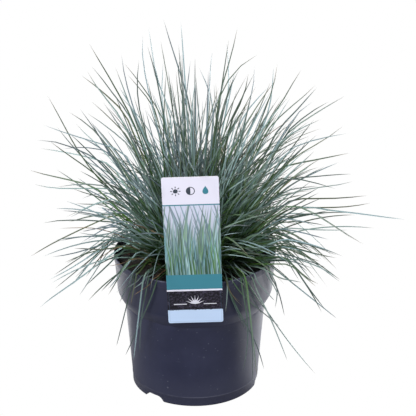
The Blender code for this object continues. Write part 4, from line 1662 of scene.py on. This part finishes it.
def tuft_leaves(number, ring, tufts, has_own):
    """The lines, widths, rolls, tones and dryness of a tuft's leaves, shoot by shoot."""
    form = RINGS[ring]
    rng = np.random.default_rng(100 + number)
    foot, tip, sides = tufts[number]
    root = planted(foot)
    base_lean = math.radians(form["lean"])
    room = math.tau / form["count"]
    heart = np.array(HEART)
    lean, bearing = lean_and_bearing(tip - heart)
    leaves = []
    sides = [side for side in sides if side[2] > SOIL_HEIGHT]
    for target in sides if has_own else (tip, *sides):
        line = reaching_line(root, base_lean, target)
        leaves.append((line, LEAF_WIDTH[1], rng.uniform(-0.6, 0.6), rng.uniform(0.1, 1.0), 0.0))
    for _ in range(form["shoots"]):
        shoot_bearing = bearing + room * rng.uniform(-SHOOT_SPREAD, SHOOT_SPREAD)
        shoot_lean = lean + math.radians(rng.normal(0.0, SHOOT_LEAN))
        stand = scattered(rng, root, SHOOT_STAND)
        shoot_tone = rng.normal(*SHOOT_TONE)
        for _ in range(form["leaves"]):
            swing = rng.normal(0.0, LEAF_SPREAD) / max(0.25, math.sin(abs(shoot_lean)))
            own_bearing = shoot_bearing + swing
            own_lean = abs(shoot_lean + rng.normal(0.0, LEAF_LEAN))
            if rng.random() < UNRULY:
                own_bearing += rng.normal(0.0, UNRULY_SPREAD)
                own_lean = abs(own_lean + rng.normal(0.0, UNRULY_LEAN))
            start = scattered(rng, stand, LEAF_STAND)
            share = SHORTEST + (1 - SHORTEST) * rng.random() ** LONG_FEW
            length = LEAF_LENGTH * share * rng.uniform(0.92, 1.08)
            end = heart + heading(own_lean, own_bearing) * length
            # A leaf that would reach past the bulk ends within it or just past its edge
            far, reach, fullness = bulk_at(end)
            limit = reach * (EDGE_NEAREST + EDGE_DEPTH * rng.random() ** 1.1)
            if far > limit:
                end = heart + (end - heart) * (limit / far)
            kept = rng.random() < fullness
            off_lean, off_bearing = lean_and_bearing(end - start)
            lift = rng.uniform(0.45, 1.0)
            arch = rng.uniform(*LEAF_ARCH)
            sway = rng.normal(0, LEAF_SWAY[0]), rng.normal(0, LEAF_SWAY[1])
            width = rng.uniform(*LEAF_WIDTH) * (0.8 + 0.2 * share)
            tone = shoot_tone + rng.normal(0.0, LEAF_TONE) - BLUE_TO_LEFT * end[0]
            tone = float(np.clip(tone, 0.0, 1.0))
            dry = 0.9 if rng.random() < DRY_LEAVES else (0.2 if rng.random() < DRYING_LEAVES else 0.0)
            roll = rng.uniform(-0.9, 0.9)
            chance = rng.random()
            if not kept:
                continue
            # The lower its tip, the more a leaf arches and the more upright it sets off
            low = float(np.clip((off_lean - 1.1) / 0.5, 0.0, 1.0))
            arch += 0.12 * low
            lift *= 1 - 0.35 * low
            for attempt in range(4):
                set_off = base_lean * min(1.3, off_lean / max(lean, 0.2)) * lift - attempt * 0.22
                rise = heading(max(0.0, set_off), off_bearing)
                line = swaying(bent_line(start, rise, end, arch + attempt * 0.05), start, end, sway)
                if is_clear(line):
                    if keeps_clearings(line, chance):
                        leaves.append((line, width, roll, tone, dry))
                    break
    return leaves


def blade_sides(line, roll):
    """The directions across a leaf's blade and out of its face, all along its line: the leaf is rolled, and
    turns on to its tip."""
    ahead = np.gradient(line, axis=0)
    ahead /= np.linalg.norm(ahead, axis=1)[:, None]
    across = np.cross(line[-1] - line[0], (0.0, 0.0, 1.0))
    across = across / max(np.linalg.norm(across), 1e-9)
    side = across - ahead * (ahead @ across)[:, None]
    side /= np.linalg.norm(side, axis=1)[:, None]
    above = np.cross(side, ahead)
    turn = roll * (1 + 0.8 * np.linspace(0.0, 1.0, len(line)))[:, None]
    return side * np.cos(turn) + above * np.sin(turn), above * np.cos(turn) - side * np.sin(turn)


def leaf_mesh(name, leaves):
    """All leaves of a tuft in one mesh: folded blades with a keel below and a groove above, tapering to a
    point. Each has its own strip in the bake map."""
    section = np.array(LEAF_SECTION)
    count = len(leaves)
    start = 0
    dots, faces, along, tones, dries, spots = [], [], [], [], [], []
    for index, (line, width, roll, tone, dry) in enumerate(leaves):
        stations = len(line)
        t = np.linspace(0.0, 1.0, stations)
        profile = (0.75 + 0.25 * np.clip(t / 0.25, 0, 1)) * (1 - t**9) ** 0.7
        flat, deep = blade_sides(line, roll)
        sizes = (width * profile)[:-1, None, None]
        ring = flat[:-1, None, :] * section[None, :, :1] + deep[:-1, None, :] * section[None, :, 1:]
        ring = line[:-1, None, :] + ring * sizes
        dots.append(ring.reshape(-1, 3))
        dots.append(line[-1:])
        end = start + (stations - 1) * 4
        # Rings of four points are joined by four faces each, and the last ring meets in the tip
        left = (index + STRIP_EDGE) / count
        wide = STRIP_WIDTH / count
        for step in range(stations - 1):
            low = start + step * 4
            high = low + 4
            v0 = 0.01 + 0.98 * t[step]
            v1 = 0.01 + 0.98 * t[step + 1]
            for k in range(4):
                n = (k + 1) % 4
                u0 = left + wide * SECTION_PLACES[k]
                u1 = left + wide * SECTION_PLACES[n]
                if step < stations - 2:
                    faces.append((low + k, low + n, high + n, high + k))
                    spots += [(u0, v0), (u1, v0), (u1, v1), (u0, v1)]
                else:
                    faces.append((low + k, low + n, end))
                    spots += [(u0, v0), (u1, v0), ((u0 + u1) / 2, v1)]
        faces.append((start + 3, start + 2, start + 1, start))
        spots += [(left + wide * SECTION_PLACES[k], 0.004 + 0.002 * (k % 2)) for k in (3, 2, 1, 0)]
        along.append(np.append(np.repeat(t[:-1], 4), 1.0))
        tones.append(np.full((stations - 1) * 4 + 1, tone))
        dries.append(np.full((stations - 1) * 4 + 1, dry))
        start = end + 1
    mesh = bpy.data.meshes.new(name)
    mesh.from_pydata(np.concatenate(dots).tolist(), [], faces)
    for label, values in (("along", along), ("tone", tones), ("dry", dries)):
        attribute = mesh.attributes.new(label, "FLOAT", "POINT")
        attribute.data.foreach_set("value", np.concatenate(values).astype(np.float32))
    layer = mesh.uv_layers.new(name=LEAF_BAKE_MAP)
    layer.data.foreach_set("uv", np.array(spots, np.float32).ravel())
    return mesh


def make_clump(finish):
    """Every tuft of the clump, each one piece in place of its solid."""
    total = sum(form["count"] for form in RINGS)
    tufts = {number: reach_of(f"leaf_tuft_{number:02}") for number in range(1, total + 1)}
    strays, taken = stray_leaves(tufts)
    hanging = hanging_leaves(tufts)
    falling = falling_leaves(tufts)
    low = low_leaves(tufts)
    number = 0
    for ring, form in enumerate(RINGS):
        for _ in range(form["count"]):
            number += 1
            leaves = tuft_leaves(number, ring, tufts, number in taken)
            leaves += strays[number] + hanging[number] + falling[number] + low[number]
            mesh = leaf_mesh(f"fescue_tuft_{number:02}", leaves)
            tuft = bpy.data.objects.new(mesh.name, mesh)
            bpy.context.scene.collection.objects.link(tuft)
            smooth_by_angle(tuft, 40)
            wear(tuft, finish)
            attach(tuft, "root")
            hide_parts(f"leaf_tuft_{number:02}")


# Floor, light and camera


def make_floor():
    """The plain pale floor: white to the eye; to what stands on it, grey in front, pale behind as a painted
    pool of light that also glows, and darker close round the foot as a painted shadow."""
    nothing_selected()
    bpy.ops.mesh.primitive_plane_add(size=8.0, location=(0, 0, -0.0002))
    floor = name_piece("floor")
    material, tree, shader = new_material("floor")
    right, back, _ = add_node(tree, "ShaderNodeSeparateXYZ", {"Vector": object_place(tree)}).outputs
    # Behind the plant the floor is paler as a painted pool of light, and there it also glows
    pale = fade(tree, plus(tree, times(tree, right, 0.5), back), -0.025, 0.05)
    away = maths(tree, "SQRT", squares(tree, right, back))
    colour = mix(tree, pale, FLOOR_GREY, FLOOR_PAINTED_LIGHT)
    # Close round the foot the floor is darkened as a painted contact shadow
    colour = mix(tree, fade(tree, away, 0.13, 0.085, 0.0, 0.35), colour, FLOOR_PAINTED_SHADOW)
    glow = mix(tree, times(tree, pale, fade(tree, away, 0.32, 0.18)), (0.0, 0.0, 0.0), STUDIO_TINT)
    feed(tree, shader, {"Base Color": colour, "Roughness": 0.9, "Specular IOR Level": 0.0})
    feed(tree, shader, {"Emission Color": glow, "Emission Strength": FLOOR_GLOW})
    white = add_node(tree, "ShaderNodeEmission", {"Color": (1.0, 1.0, 1.0, 1.0), "Strength": 1.0})
    seen = add_node(tree, "ShaderNodeLightPath").outputs["Is Camera Ray"]
    blend = add_node(tree, "ShaderNodeMixShader", {0: seen, 1: shader.outputs[0], 2: white.outputs[0]})
    feed(tree, tree.nodes["Material Output"], {"Surface": blend.outputs[0]})
    wear(floor, material)


def make_light():
    """A studio that is white to the eye: bright walls at both sides, dimmer ones in front and behind, a dim
    top, a large soft lamp above the camera's left shoulder and three weak ones round the plant."""
    world = bpy.data.worlds.new("studio")
    world.use_nodes = True
    tree = world.node_tree
    toward = add_node(tree, "ShaderNodeTexCoord").outputs["Generated"]
    x, y, z = add_node(tree, "ShaderNodeSeparateXYZ", {"Vector": toward}).outputs
    level = plus(
        tree,
        times(tree, fade(tree, x, 0.25, 0.95), STUDIO["right"]),
        times(tree, fade(tree, x, -0.25, -0.95), STUDIO["left"]),
        times(tree, fade(tree, y, 0.0, 0.9), STUDIO["back"]),
        times(tree, fade(tree, z, 0.2, 0.95), STUDIO["top"]),
        STUDIO["all"],
    )
    seen = add_node(tree, "ShaderNodeLightPath").outputs["Is Camera Ray"]
    colour = mix(tree, seen, STUDIO_TINT, (1.0, 1.0, 1.0))
    strength = maths(tree, "MAXIMUM", seen, level)
    feed(tree, tree.nodes["Background"], {"Color": colour, "Strength": strength})
    bpy.context.scene.world = world
    for name, place, size, power in LAMPS:
        nothing_selected()
        bpy.ops.object.light_add(type="AREA", location=place)
        lamp = bpy.context.object
        lamp.name = name
        lamp.data.size = size
        lamp.data.energy = power
        lamp.visible_camera = False
        aim = Vector(LAMPS_AIM) - Vector(place)
        lamp.rotation_euler = aim.to_track_quat("-Z", "Y").to_euler()


def make_camera():
    """The camera at the photograph's place and angle."""
    nothing_selected()
    bpy.ops.object.camera_add(location=CAMERA_PLACE, rotation=(math.pi / 2 - CAMERA_PITCH, 0.0, 0.0))
    camera = bpy.context.object
    camera.data.lens = CAMERA_LENS
    camera.data.sensor_width = CAMERA_SENSOR
    camera.data.clip_start = 0.05
    camera.data.clip_end = 30.0
    bpy.context.scene.camera = camera


make_camera()
make_light()
make_floor()
make_pot(pot_finish())
make_soil(soil_finish())
make_label(print_finish(), card_finish())
make_clump(leaf_finish())
bpy.context.scene.view_settings.view_transform = "Standard"
